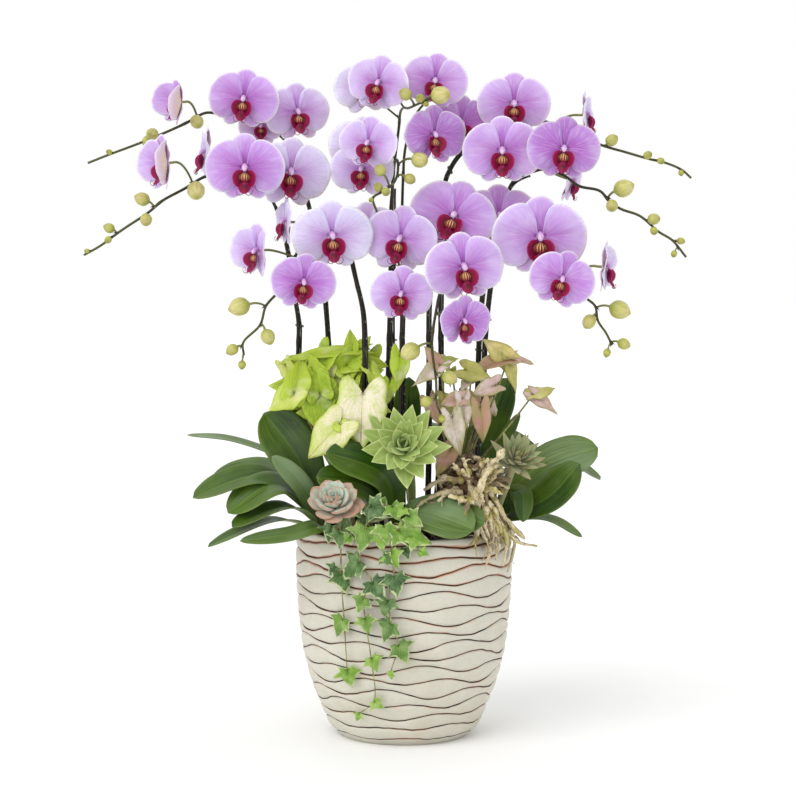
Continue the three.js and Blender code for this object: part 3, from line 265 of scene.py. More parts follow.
# Each arrowhead vine's foot and fork, and its petioles: the joint at the end of each, then the tip, width,
# facing and tint of every blade there
VINES = {
    "lime": ((-62, -62), (-64, -66, 296), [
        ((363, 394, -98), [((360, 449, -108), 74, (-0.1, -1, 0.1), 1.0)]),
        ((340, 424, -104), [((309, 457, -106), 56, (0, -1, 0.3), 0.9),
                            ((345, 434, -106), 24, (0.1, -1, 0.3), 0.5)]),
        ((326, 355, -56), [((280, 361, -68), 28, (0, -0.5, 1), 0.2)]),
        ((352, 351, -62), [((286, 357, -78), 20, (0, -0.9, 0.5), 0.35),
                           ((350, 330, -60), 22, (0, -1, 0), 0.3)]),
        ((294, 393, -84), [((304, 357, -74), 40, (0.1, -1, 0), 0.3),
                           ((270, 411, -96), 40, (-0.2, -1, 0.3), 0.6)]),
        ((320, 394, -78), [((327, 438, -88), 58, (0, -1, 0.3), 0.0),
                           ((312, 366, -70), 42, (0, -1, 0.2), 0.1)]),
        ((346, 366, -62), [((322, 398, -72), 46, (0, -1, 0.4), 0.25), ((370, 337, -58), 38, (0, -1, 0), 0.2),
                           ((387, 363, -56), 34, (0, -1, 0.6), 0.3)]),
        ((400, 356, -76), [((398, 388, -90), 30, (0.2, -1, 0.2), 0.15)])]),
    "pink": ((62, -40), (66, -44, 316), [
        ((508, 360, -52), [((484, 340, -62), 34, (-0.3, -1, 0.4), 0.0),
                           ((516, 392, -60), 20, (0.3, -1, 0.2), 0.1),
                           ((470, 371, -62), 28, (0, -0.8, 0.7), 0.5),
                           ((533, 363, -50), 16, (0, -0.6, 1), 0.6)]),
        ((533, 395, -46), [((555, 389, -50), 24, (0, -0.8, 0.7), 0.1),
                           ((557, 413, -52), 22, (0.2, -1, 0.3), 0.7)]),
        ((440, 366, -72), [((425, 347, -76), 22, (0, -1, 0.4), 0.5),
                           ((458, 357, -70), 20, (0, -0.8, 0.7), 0.2),
                           ((412, 386, -84), 28, (0, -0.8, 0.8), 0.9)]),
        ((462, 399, -88), [((441, 404, -92), 26, (0, -1, 0.4), 0.6),
                           ((465, 430, -98), 28, (0.4, -1, 0), 0.9)]),
        ((452, 417, -96), [((460, 454, -106), 34, (-0.1, -1, 0.2), 0.95)]),
        ((480, 407, -80), [((483, 441, -88), 30, (0.1, -1, 0.1), 0.5)]),
        ((450, 450, -92), [((436, 476, -98), 28, (0.3, -1, 0.3), 0.5)])]),
}

# Blades that fill each vine: the middle and reach of the cluster in pixels, its depth, how many, widths,
# tints in turn and how far they lean
VINE_FILL = {
    "lime": ((334, 395), (56, 33), -76, 36, (24, 44), (0.0, 0.1, 0.4, 0.75, 0.2, 0.5), 0.65),
    "pink": ((464, 401), (34, 30), -72, 11, (18, 32), (0.5, 0.25, 0.9, 0.55, 0.15, 0.7), 0.9),
}

# Each echeveria: foot, bend of its stem, pixel and depth of its heart, turn, tilt, span, leaves of the
# frame and leaves here, width as a share of length, where it is widest, how blunt the leaf is
ECHEVERIAS = {
    "green": ((10, -34), (8, -52, 322), (403, 449, -108), 0, 20, 118, 18, 38, 0.48, 0.44, 1.45),
    "blue": ((-70, -92), (-73, -97, 286), (334, 509, -136), -4, 48, 76, 15, 34, 0.62, 0.62, 3.2),
    "dusky": ((100, -53), (119, -61, 302), (514, 463, -88), 25, 40, 82, 13, 42, 0.33, 0.5, 1.6),
}

# The ivy's foot, its crown, and the leaves along each shoot: pixel, length, lean of the tip, height off the
# pot, youth
IVY_FOOT = (-32, -102)
IVY_CROWN = (-32, -102, 262)
IVY_SHOOTS = [
    [(341, 532, 26, -4, 12, 0.1), (341, 574, 30, 14, 10, 0.1), (344, 619, 28, -22, 10, 0.6),
     (347, 669, 28, 12, 10, 0.8)],
    [(366, 528, 36, -12, 16, 0.6), (360, 562, 34, -42, 12, 0.1), (372, 582, 32, 30, 15, 0.0),
     (364, 598, 24, -22, 12, 0.5), (365, 618, 24, 12, 11, 0.6), (371, 658, 22, 22, 11, 0.9),
     (374, 701, 18, 50, 9, 0.9), (360, 713, 12, -20, 8, 1.0)],
    [(398, 530, 36, 42, 14, 0.7), (391, 552, 26, 20, 12, 0.9), (394, 576, 32, 8, 12, 0.0),
     (388, 600, 26, -12, 10, 0.1), (392, 624, 30, -24, 12, 0.2), (398, 645, 30, 24, 10, 0.4),
     (391, 671, 9, 10, 8, 1.0)],
]
IVY_TOP_LEAVES = [
    ((364, 514, -118), (384, 518, -130), 30, (0, -1, 0.6), 0.1),
    ((380, 508, -124), (385, 497, -128), 22, (0, -1, 0.4), 0.7),
]
# Small leaves that stand between the shoots: pixel, length, lean, height off the pot, youth
IVY_SMALL = [
    (352, 536, 18, -50, 13, 0.7), (380, 536, 22, 8, 16, 0.9), (384, 556, 18, 40, 13, 0.2),
    (420, 551, 13, 60, 12, 1.0), (352, 528, 16, -70, 12, 0.2), (346, 516, 26, -20, 8, 0.1),
    (370, 506, 32, 60, 10, 0.0), (392, 506, 24, 25, 10, 0.8), (408, 516, 24, 50, 12, 0.6),
    (332, 526, 26, -10, 10, 0.05), (357, 508, 20, -35, 6, 0.5), (384, 526, 28, 10, 18, 0.7),
    (410, 536, 30, 66, 12, 0.8), (406, 548, 18, 10, 12, 0.0), (336, 566, 18, -30, 10, 0.0),
    (404, 508, 16, -30, 14, 0.9), (392, 674, 8, 0, 8, 1.0),
]

# The clump of dried roots
ROOT_CORE = ((62, -84), (471, 486, -84), (33, 25, 34))
ROOTS_OUT = 12
# Single stout roots that stand out: pixels and depths along each, its thickness at both ends and how pale
# it is
STOUT_ROOTS = [
    ([(484, 476, -100), (496, 460, -112), (504, 449, -116)], 5.6, 4.2, 1.0),
    ([(472, 490, -104), (467, 472, -116), (463, 458, -118)], 5.2, 3.6, 0.9),
    ([(482, 499, -110), (466, 501, -122), (449, 495, -122)], 5.0, 3.0, 1.0),
    ([(476, 504, -110), (482, 484, -120), (490, 467, -118)], 5.0, 4.0, 1.0),
    ([(462, 482, -102), (444, 478, -112), (424, 490, -106)], 4.6, 2.4, 0.6),
    ([(462, 492, -106), (442, 492, -114), (417, 507, -108)], 4.4, 2.4, 0.7),
    ([(458, 494, -100), (444, 500, -108), (430, 503, -108)], 4.0, 2.2, 0.3),
    ([(486, 508, -112), (485, 540, -84), (474, 562, -96), (455, 567, -115)], 4.0, 2.2, 0.9),
    ([(494, 508, -104), (505, 530, -80), (517, 542, -70), (537, 546, -62)], 4.4, 2.4, 0.9),
    ([(496, 500, -104), (508, 522, -84), (519, 533, -72), (524, 538, -66)], 4.4, 3.0, 0.8),
]
ROOTS_HANGING = 7
ROOTS_WOUND = 26
ROOT_STUBS = 34


def seen(px, py, y):
    """The point seen at a pixel of the photograph, at a depth of y millimetres behind the pot's axis."""
    across = (px - VIEW_CENTRE) / FOCAL_PIXELS
    down = (py - VIEW_CENTRE) / FOCAL_PIXELS
    reach = (y - EYE[1]) / (math.cos(EYE_PITCH) - down * math.sin(EYE_PITCH))
    drop = math.sin(EYE_PITCH) + down * math.cos(EYE_PITCH)
    return np.array([EYE[0] + reach * across, y, EYE[2] - reach * drop])


def pot_radius(z):
    radii, heights = zip(*POT_PROFILE)
    return np.interp(z, heights, radii)


def on_pot(px, py, stand):
    """The point seen at a pixel that stands a given height off the front of the pot."""
    point = seen(px, py, -POT_PROFILE[-1][0])
    for _ in range(6):
        r = pot_radius(min(point[2], POT_HEIGHT)) + stand
        point = seen(px, py, -math.sqrt(max(r * r - point[0] * point[0], 0)))
    return point


def unit(v):
    v = np.asarray(v, float)
    return v / np.maximum(np.linalg.norm(v, axis=-1, keepdims=True), 1e-9)


def seeded_draws(seed):
    """The same seeded draws as the frame's source makes."""
    state = seed
    while True:
        state = (state * 1664525 + 1013904223) % 4294967296
        yield state / 4294967296


def angles(count):
    """Angles evenly round a circle."""
    return np.linspace(0, TURN, count, endpoint=False)


def circle(turns, side, up, squash=1.0):
    """Points round a circle or an oval with these two half axes."""
    return np.outer(np.cos(turns), side) + squash * np.outer(np.sin(turns), up)


def even(line, count):
    """Evenly spaced points of a line of points."""
    line = np.asarray(line, float)
    far = np.concatenate([[0], np.cumsum(np.linalg.norm(np.diff(line, axis=0), axis=1))])
    at = np.linspace(0, far[-1], count)
    return np.stack([np.interp(at, far, line[:, k]) for k in range(line.shape[1])], 1)


def curve(points, count):
    """Evenly spaced points of a smooth curve through some points."""
    p = np.asarray(points, float)
    p = np.vstack([2 * p[0] - p[1], p, 2 * p[-1] - p[-2]])
    t = np.linspace(0, 1, 16, endpoint=False)[:, None]
    fine = []
    for a, b, c, d in zip(p, p[1:], p[2:], p[3:]):
        gap = [max(math.sqrt(np.linalg.norm(v - u)), 1e-4) for u, v in ((a, b), (b, c), (c, d))]
        start = ((b - a) / gap[0] - (c - a) / (gap[0] + gap[1]) + (c - b) / gap[1]) * gap[1]
        end = ((c - b) / gap[1] - (d - b) / (gap[1] + gap[2]) + (d - c) / gap[2]) * gap[1]
        square, cube = 3 * (c - b) - 2 * start - end, 2 * (b - c) + start + end
        fine.append(b + start * t + square * t**2 + cube * t**3)
    return even(np.vstack([*fine, p[-2:-1]]), count)


def bent(start, control, end, count):
    t = np.linspace(0, 1, count)[:, None]
    return (1 - t) ** 2 * start + 2 * t * (1 - t) * control + t**2 * end


class Piece:
    """Collects the surfaces of one piece. Each corner has a tint and a grain, which tells the material how far
    it is across, how far along and on which side of its leaf or petal."""

    def __init__(self):
        self.corners, self.grain, self.tint, self.sides, self.looks = [], [], [], [], []
        self.count = 0

    def add(self, corners, grain, faces, look, tint):
        corners = corners.reshape(-1, 3)
        self.corners.append(corners)
        self.grain.append(grain.reshape(-1, 3))
        self.tint.append(np.full(len(corners), float(tint)))
        self.sides += [group + self.count for group in faces]
        self.looks += [np.full(len(group), look) for group in faces]
        self.count += len(corners)

    def plate(self, grid, thickness, look=0, tint=0.0, along=None):
        """A closed blade over a grid, thinner at its rim. Its upper face is where the grid turns right."""
        rows, columns = grid.shape[:2]
        normal = unit(np.cross(np.gradient(grid, axis=1), np.gradient(grid, axis=0)))
        steps = [np.arange(n) for n in (rows, columns)]
        inwards = np.minimum.outer(*[np.minimum(step, step[::-1]) / 2 for step in steps])
        depth = normal * (thickness / 2 * (RIM_SHARE + (1 - RIM_SHARE) * np.minimum(inwards, 1)[..., None]))
        across, far = along or np.meshgrid(np.linspace(-1, 1, columns), np.linspace(0, 1, rows))
        grain = np.stack([np.stack([across, far, np.full(far.shape, side)], 2) for side in (1.0, -1.0)])
        index = np.arange(rows * columns).reshape(rows, columns)
        quads = np.stack([index[:-1, :-1], index[:-1, 1:], index[1:, 1:], index[1:, :-1]], 2).reshape(-1, 4)
        rim = np.concatenate([index[0, :-1], index[:-1, -1], index[-1, :0:-1], index[:0:-1, 0]])
        ahead = np.roll(rim, -1)
        band = np.stack([rim, rim + index.size, ahead + index.size, ahead], 1)
        both = np.stack([grid + depth, grid - depth])
        self.add(both, grain, [quads, quads[:, ::-1] + index.size, band], look, tint)

    def skin(self, rings, look=0, tint=0.0, grain=None, bulge=END_BULGE):
        """A closed skin over rings of points, with a rounded end at each."""
        rings = np.asarray(rings, float)
        count, sides = rings.shape[:2]
        centres = rings.mean(1)
        size = np.linalg.norm(rings - centres[:, None], axis=2).mean(1)
        start = centres[0] - unit(centres[1] - centres[0]) * size[0] * bulge
        end = centres[-1] + unit(centres[-1] - centres[-2]) * size[-1] * bulge
        if grain is None:
            turn, far = np.meshgrid(np.linspace(0, 1, sides, endpoint=False), np.linspace(0, 1, count))
            grain = np.stack([turn, far, np.zeros_like(far)], 2)
        index = np.arange(count * sides).reshape(count, sides)
        ahead = np.roll(index, -1, 1)
        quads = np.stack([index[:-1], ahead[:-1], ahead[1:], index[1:]], 2).reshape(-1, 4)
        near_end = np.stack([np.full(sides, index.size), ahead[0], index[0]], 1)
        far_end = np.stack([np.full(sides, index.size + 1), index[-1], ahead[-1]], 1)
        corners = np.vstack([rings.reshape(-1, 3), start, end])
        grain = np.vstack([grain.reshape(-1, 3), [0.5, 0, 0], [0.5, 1, 0]])
        self.add(corners, grain, [quads, near_end, far_end], look, tint)

    def tube(self, line, radius, sides=8, look=0, tint=0.0, squash=1.0):
        """A round bar along a line of points, of one radius or one at each point."""
        line = np.asarray(line, float)
        way = unit(np.gradient(line, axis=0))
        side = unit(np.cross([0.9, 0.1, 0.4], way[0]))
        rings = []
        for centre, w, r in zip(line, way, np.broadcast_to(radius, len(line))):
            up = unit(np.cross(w, side))
            side = unit(np.cross(up, w))
            rings.append(centre + r * circle(angles(sides), side, up, squash))
        self.skin(rings, look, tint)

    def build(self, name, materials, slot, *nodes):
        """The object in metres, riding on the root, in place of the frame's nodes that it stands for."""
        mesh = bpy.data.meshes.new(name)
        sizes = np.concatenate([np.full(len(group), group.shape[1]) for group in self.sides])
        loops = np.concatenate([group.reshape(-1) for group in self.sides])

        def fill(rows, key, values, kind=np.float32):
            rows.foreach_set(key, np.asarray(values, kind).reshape(-1))

        mesh.vertices.add(self.count)
        fill(mesh.vertices, "co", np.concatenate(self.corners) * MM)
        mesh.loops.add(len(loops))
        fill(mesh.loops, "vertex_index", loops, np.int32)
        mesh.polygons.add(len(sizes))
        fill(mesh.polygons, "loop_start", np.cumsum(sizes) - sizes, np.int32)
        fill(mesh.polygons, "material_index", np.concatenate(self.looks), np.int32)
        mesh.update(calc_edges=True)
        mesh.shade_smooth()
        fill(mesh.attributes.new("grain", "FLOAT_VECTOR", "POINT").data, "vector", np.concatenate(self.grain))
        fill(mesh.attributes.new("tint", "FLOAT", "POINT").data, "value", np.concatenate(self.tint))
        for material in materials:
            mesh.materials.append(material)
        piece = bpy.data.objects.new(name, mesh)
        bpy.context.scene.collection.objects.link(piece)
        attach(piece, "root")
        if nodes:
            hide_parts(*nodes)


def screen(colour):
    """A colour given as on screen, from 0 to 255, in the renderer's own units."""
    return (*[(c / 255) ** SCREEN_GAMMA for c in colour], 1)


class Wire:
    """A value that flows between the nodes of a material, so that its sums can be written as sums."""

    def __init__(self, look, socket):
        self.look, self.socket = look, socket

    def __add__(self, other):
        return self.look.math("ADD", self, other)

    def __sub__(self, other):
        return self.look.math("SUBTRACT", self, other)

    def __mul__(self, other):
        return self.look.math("MULTIPLY", self, other)

    def __abs__(self):
        return self.look.math("ABSOLUTE", self)


class Look:
    """A material of nodes, whose colour is covered with one thing after another, as given on screen."""

    def __init__(self, name, roughness, **sockets):
        self.material = bpy.data.materials.new(name)
        self.material.use_nodes = True
        self.tree = self.material.node_tree
        self.shader = self.tree.nodes["Principled BSDF"]
        self.colour = None
        for socket, value in {"Roughness": roughness, **sockets}.items():
            self.shader.inputs[socket.replace("_", " ")].default_value = value

    def put(self, socket, value):
        if isinstance(value, Wire):
            self.tree.links.new(value.socket, socket)
        elif isinstance(value, tuple) and socket.type == "RGBA":
            socket.default_value = screen(value)
        else:
            socket.default_value = value

    def node(self, kind, inputs, output=0, **settings):
        made = self.tree.nodes.new("ShaderNode" + kind)
        for key, value in settings.items():
            setattr(made, key, value)
        for key, value in inputs.items():
            self.put(made.inputs[key], value)
        return Wire(self, made.outputs[output])

    @cached_property
    def grain(self):
        """How far across, how far along and on which side of its leaf or petal a place is."""
        vector = self.node("Attribute", {}, "Vector", attribute_name="grain")
        split = self.node("SeparateXYZ", {0: vector}).socket.node
        return [Wire(self, socket) for socket in split.outputs]

    @cached_property
    def tint(self):
        return self.node("Attribute", {}, "Fac", attribute_name="tint")

    @cached_property
    def place(self):
        return self.node("TexCoord", {}, "Object")

    @cached_property
    def behind(self):
        """1 on the lower face of a leaf or the back of a petal."""
        return self.fade(self.grain[2], -0.2, 0.2, 1, 0)

    def ring(self, stretch):
        """The grain of a bar as a place round and along it, so that a pattern closes on itself."""
        across, along, _ = self.grain
        turn = across * TURN
        return self.vector(self.math("COSINE", turn), self.math("SINE", turn), along * stretch)

    def math(self, operation, a, b=0.0):
        return self.node("Math", {0: a, 1: b}, operation=operation)

    def vector(self, x, y, z):
        return self.node("CombineXYZ", {0: x, 1: y, 2: z})

    def noise(self, vector, scale, detail=3.0, roughness=0.5):
        inputs = {"Vector": vector, "Scale": scale, "Detail": detail, "Roughness": roughness}
        return self.node("TexNoise", inputs)

    def fade(self, value, low, high, to_low=0.0, to_high=1.0):
        return self.node("MapRange", {0: value, 1: low, 2: high, 3: to_low, 4: to_high},
                         interpolation_type="SMOOTHSTEP")

    def ramp(self, value, *stops):
        made = self.node("ValToRGB", {0: value})
        elements = made.socket.node.color_ramp.elements
        for i, (at, colour) in enumerate(stops):
            stop = elements[i] if i < 2 else elements.new(at)
            stop.position, stop.color = at, screen(colour)
        return made

    def mix(self, share, a, b):
        return self.node("Mix", {0: share, 6: a, 7: b}, 2, data_type="RGBA")

    def cover(self, share, colour):
        """Covers a share of the colour so far with another one."""
        self.colour = self.mix(share, self.colour, colour)

    def blotch(self, colour, scale, low, high, share, detail=3.0, roughness=0.5):
        """Covers the places where a noise is high, and gives the noise."""
        spots = self.noise(self.place, scale, detail, roughness)
        self.cover(self.fade(spots, low, high, 0, share), colour)
        return spots

    def finish(self, height=None, strength=0.3, distance=0.001):
        self.put(self.shader.inputs["Base Color"], self.colour)
        if height is not None:
            bump = self.node("Bump", {"Height": height, "Strength": strength, "Distance": distance})
            self.put(self.shader.inputs["Normal"], bump)
        return self.material


def petal_look():
    look = Look("petal", 0.5, Subsurface_Weight=0.1, Subsurface_Scale=0.004, Sheen_Weight=0.08)
    across, along, _ = look.grain
    streak = look.noise(look.vector(across * 9, along, look.tint), 2.2, 4)
    fine = look.noise(look.vector(across * 30, along, look.tint), 1.6, 2)
    vein = look.fade(abs(fine - 0.5), 0, 0.06, 1, 0)
    front = look.ramp(along, (0, (162, 76, 170)), (0.18, (170, 94, 190)), (0.5, (183, 127, 209)),
                      (0.88, (192, 150, 221)), (0.945, (204, 174, 229)), (0.976, (244, 236, 250)))
    pale = look.ramp(along, (0, (188, 152, 208)), (0.25, (204, 190, 230)), (0.88, (215, 211, 241)),
                     (0.976, (242, 241, 250)))
    back = look.ramp(along, (0, (196, 184, 122)), (0.4, (216, 198, 156)), (0.8, (218, 194, 204)),
                     (0.985, (232, 218, 236)))
    look.colour = look.mix(look.tint, front, pale)
    look.cover(look.fade(look.tint, -1, 0, 0.75, 0), (136, 72, 158))
    look.blotch((224, 214, 242), 26, 0.48, 0.7, 0.3, 2)
    middle = look.fade(abs(across), 0.05, 0.6, 1, 0) * look.fade(along, 0.15, 0.8, 1, 0)
    look.cover(middle * 0.5, (172, 86, 190))
    look.cover(vein * look.fade(along, 0.3, 0.95, 0.45, 0.15), (158, 88, 186))
    look.cover(look.fade(streak, 0.45, 0.7, 0, 0.3), (214, 198, 236))
    look.cover(look.behind, back)
    return look.finish(streak + vein * -0.25, 0.35, 0.0008)


def lip_look():
    look = Look("lip", 0.42, Specular_IOR_Level=0.3)
    across, along, _ = look.grain
    streak = look.noise(look.vector(across * 8, along, 0), 3)
    look.colour = look.ramp(along, (0, (78, 0, 30)), (0.45, (122, 2, 52)), (0.9, (150, 4, 74)),
                            (1, (182, 50, 120)))
    look.cover(look.fade(streak, 0.5, 0.62, 0, 0.6), (66, 0, 30))
    return look.finish(streak, 0.4, 0.0008)


def callus_look():
    look = Look("callus", 0.4, Specular_IOR_Level=0.35)
    across, along, _ = look.grain
    stripe = look.math("PINGPONG", across * 13 + look.noise(look.place, 300) * 0.25, 0.5)
    glow = look.fade(look.math("SINE", across * TURN), -0.5, 0.5)
    gold = look.mix(look.fade(along, 0.3, 0.85), (228, 182, 116), (150, 34, 60))
    look.colour = look.mix(look.fade(stripe, 0.2, 0.36) * glow, (104, 2, 38), gold)
    return look.finish(stripe, 0.5, 0.0008)


def column_look():
    look = Look("column", 0.45, Subsurface_Weight=0.1, Subsurface_Scale=0.003)
    look.colour = look.ramp(look.grain[1], (0, (190, 128, 196)), (0.6, (206, 156, 212)), (1, (226, 198, 232)))
    look.blotch((176, 84, 166), 400, 0.5, 0.7, 0.3)
    return look.finish()


def bud_look():
    look = Look("bud", 0.42, Subsurface_Weight=0.08, Subsurface_Scale=0.004)
    along = look.grain[1]
    small = look.ramp(along, (0, (126, 136, 42)), (0.5, (178, 180, 80)), (1, (126, 130, 52)))
    large = look.ramp(along, (0, (150, 158, 68)), (0.45, (192, 187, 110)), (0.85, (207, 197, 136)),
                      (1, (172, 166, 84)))
    look.colour = look.mix(look.tint, small, large)
    streak = look.noise(look.ring(0.5), 5)
    look.cover(look.fade(streak, 0.45, 0.65, 0, 0.45), (146, 156, 54))
    look.blotch((190, 138, 116), 45, 0.5, 0.75, 0.2, 1)
    return look.finish(streak, 0.25, 0.0006)


def stem_look():
    look = Look("stem", 0.45, Specular_IOR_Level=0.3)
    streak = look.noise(look.ring(12), 1.6, 5, 0.6)
    look.colour = look.ramp(look.grain[1], (0, (34, 29, 25)), (0.5, (42, 37, 30)), (0.8, (54, 50, 34)),
                            (1, (88, 90, 46)))
    look.cover(look.fade(streak, 0.5, 0.62, 0, 0.6), (22, 19, 17))
    # Pale grey flecks: partly dust on the stem, partly a painted highlight.
    look.blotch((142, 138, 122), 260, 0.6, 0.7, 0.6, 4, 0.65)
    return look.finish(streak, 0.35, 0.0008)


def stalk_look():
    look = Look("stalk", 0.45)
    look.colour = look.ramp(look.grain[1], (0, (70, 70, 38)), (0.5, (108, 112, 58)), (1, (148, 142, 92)))
    spots = look.blotch((96, 84, 56), 300, 0.5, 0.7, 0.4)
    return look.finish(spots, 0.2, 0.0005)


def speckled_look(name, roughness, scale, stops, strength, distance, **sockets):
    """A material of spots, which also roughen it."""
    look = Look(name, roughness, **sockets)
    spots = look.noise(look.place, scale)
    look.colour = look.ramp(spots, *stops)
    return look.finish(spots, strength, distance)


def wire_look():
    stops = (0.4, (26, 25, 24)), (0.6, (44, 42, 40)), (0.66, (128, 127, 122))
    return speckled_look("wire", 0.35, 220, stops, 0.2, 0.0004, Metallic=0.3)


def clip_look():
    return speckled_look("clip", 0.3, 160, ((0.3, (38, 44, 30)), (0.7, (58, 66, 44))), 0.1, 0.0003)


def ivy_stem_look():
    stops = (0.35, (112, 92, 70)), (0.55, (142, 142, 84)), (0.7, (160, 178, 104))
    return speckled_look("ivy_stem", 0.5, 130, stops, 0.3, 0.0005)


def orchid_leaf_look():
    look = Look("orchid_leaf", 0.3, Specular_IOR_Level=0.38)
    across, along, _ = look.grain
    wide = abs(across)
    streak = look.noise(look.vector(across * 5, along, look.tint), 1.6, 2)
    thread = look.noise(look.vector(across * 22, along, look.tint), 1.5, 2)
    # The tint mixes the deep ramp into the soft one: partly the leaf's own duller, greyer colour, partly
    # painted light, paler where a leaf is lit and deeper where it is shaded.
    deep = look.ramp(streak, (0.3, (30, 58, 2)), (0.5, (42, 74, 4)), (0.7, (58, 94, 8)))
    soft = look.ramp(streak, (0.3, (88, 114, 56)), (0.5, (100, 126, 66)), (0.7, (116, 140, 84)))
    under = look.ramp(streak, (0.3, (70, 92, 34)), (0.7, (108, 128, 62)))
    look.colour = look.mix(look.tint, deep, soft)
    # Painted light: one half of the folded blade is paler and yellower than the other, as if lit from that
    # side.
    look.cover(look.fade(across, -0.08, 0.08, 0.22, 0), (124, 152, 52))
    look.cover(look.fade(thread, 0.42, 0.6, 0.4, 0), (30, 52, 8))
    look.blotch((92, 122, 24), 22, 0.42, 0.7, 0.45)
    look.blotch((136, 156, 112), 70, 0.58, 0.78, 0.2, 5, 0.65)
    # A painted sheen: pale grey-green patches in the base colour, stronger on the paler leaves.
    sheen = look.fade(look.noise(look.place, 11, 2), 0.48, 0.7, 0, 0.6)
    look.cover(sheen * look.fade(look.tint, 0.2, 0.9, 0.2, 1), (130, 150, 116))
    rib = look.fade(wide, 0, 0.07, 1, 0)
    look.cover(rib * 0.5, (92, 122, 40))
    look.cover(look.fade(wide, 0.9, 1, 0, 0.4), (124, 146, 62))
    look.cover(look.fade(along, 0, 0.22, 0.5, 0), (112, 120, 48))
    look.cover(look.behind, under)
    return look.finish(streak + thread - rib * 0.8, 0.3, 0.0012)


def arrow_leaf_look(name, stops, young_vein, old_vein, edge_colour):
    """A thin blade: its ground follows the tint, with raised branching veins, a midrib and a greener edge."""
    look = Look(name, 0.42, Subsurface_Weight=0.08, Subsurface_Scale=0.003, Specular_IOR_Level=0.35)
    across, along, _ = look.grain
    wide = abs(across)
    vein_colour = look.mix(look.fade(look.tint, 0.6, 0.85), young_vein, old_vein)
    ridge = look.math("PINGPONG", along * 3 + wide * 7 + look.noise(look.place, 60) * 1.6, 0.5)
    rib = look.fade(wide, 0, 0.04, 0.85, 0)
    broad = look.noise(look.place, 45)
    look.colour = look.ramp(look.tint, *stops)
    look.blotch(edge_colour, 190, 0.45, 0.62, 0.35, 4, 0.65)
    look.cover(look.fade(broad, 0.42, 0.68, 0, 0.6), edge_colour)
    look.cover(look.fade(broad, 0.25, 0.52, 0.5, 0), stops[-1][1])
    look.cover(look.fade(ridge, 0, 0.08, 1, 0) * 0.4, vein_colour)
    look.cover(look.fade(along, 0.78, 1, 0, 0.75), edge_colour)
    look.cover(rib, vein_colour)
    look.cover(look.behind, look.mix(0.35, look.colour, vein_colour))
    return look.finish(ridge + broad * 1.6 - rib, 0.45, 0.0014)


def succulent_look(name, heart, body, margin, edge_from, worn):
    """A thick leaf: paler at its base, another colour at its rims and tip, with a dull bloom. The outer
    leaves, of a low tint, are worn towards the colour of the rims."""
    look = Look(name, 0.5, Sheen_Weight=0.2, Subsurface_Weight=0.1, Subsurface_Scale=0.004)
    across, along, side = look.grain
    wide = abs(across)
    look.colour = look.ramp(along, (0, heart), (0.5, body), (1, body))
    cloud = look.blotch(heart, 60, 0.35, 0.7, 0.35, 4)
    rim = look.math("MAXIMUM", look.fade(wide, edge_from, 1), look.fade(along, 0.86, 1))
    look.cover(rim * look.fade(along, 0.25, 0.5) * look.fade(cloud, 0.2, 0.5, 0.5, 1), margin)
    look.cover(look.fade(wide, 0, 0.16, 0.35, 0) * look.fade(along, 0.1, 0.4), margin)
    look.cover(look.fade(side, -0.6, 0, 0.35, 0), margin)
    look.cover(look.fade(look.tint, 0.1, 0.5, worn, 0) * look.fade(along, 0.2, 0.8, 0.2, 1), margin)
    return look.finish(cloud, 0.2, 0.001)


def ivy_look():
    look = Look("ivy_leaf", 0.42)
    across, along, _ = look.grain
    cloud = look.noise(look.place, 80, 3, 0.55)
    old = look.ramp(cloud, (0.32, (44, 76, 34)), (0.5, (66, 100, 50)), (0.68, (108, 136, 88)))
    young = look.ramp(cloud, (0.32, (100, 144, 36)), (0.5, (128, 168, 54)), (0.68, (160, 192, 92)))
    look.colour = look.mix(look.tint, old, young)
    uneven_rim = along + (look.noise(look.place, 150, 2) - 0.5) * 0.5
    look.cover(look.fade(uneven_rim, 0.84, 0.96) * look.fade(look.tint, 0.8, 1, 0.85, 0.4), (202, 210, 156))
    vein = look.fade(look.math("PINGPONG", abs(across) * 5, 0.5), 0, 0.06, 0.55, 0)
    look.cover(vein, (168, 190, 130))
    look.cover(look.behind * 0.6, (150, 172, 128))
    return look.finish(cloud - vein, 0.3, 0.001)


def root_look():
    look = Look("dried_root", 0.85)
    streak = look.noise(look.ring(3), 2.5, 5, 0.65)
    pale = look.ramp(streak, (0.3, (186, 158, 112)), (0.45, (232, 214, 168)), (0.65, (250, 242, 210)))
    # The dark ramp: the colour of the darker roots, and on the core a painted shade between the strands.
    dark = look.ramp(streak, (0.3, (40, 26, 20)), (0.5, (88, 60, 42)), (0.7, (140, 108, 76)))
    look.colour = look.mix(look.tint, dark, pale)
    look.blotch((178, 168, 72), 55, 0.52, 0.62, 0.6, 2)
    spots = look.blotch((84, 56, 42), 240, 0.54, 0.66, 0.7, 5, 0.65)
    return look.finish(streak + spots, 0.8, 0.002)


def bark_look():
    look = Look("bark", 0.9)
    spots = look.noise(look.place, 90, 6, 0.65)
    look.colour = look.ramp(spots, (0.3, (24, 17, 12)), (0.5, (58, 42, 28)), (0.62, (92, 70, 44)),
                            (0.75, (74, 84, 40)))
    look.blotch((34, 24, 16), 420, 0.5, 0.7, 0.5, 4)
    return look.finish(spots, 0.9, 0.004)


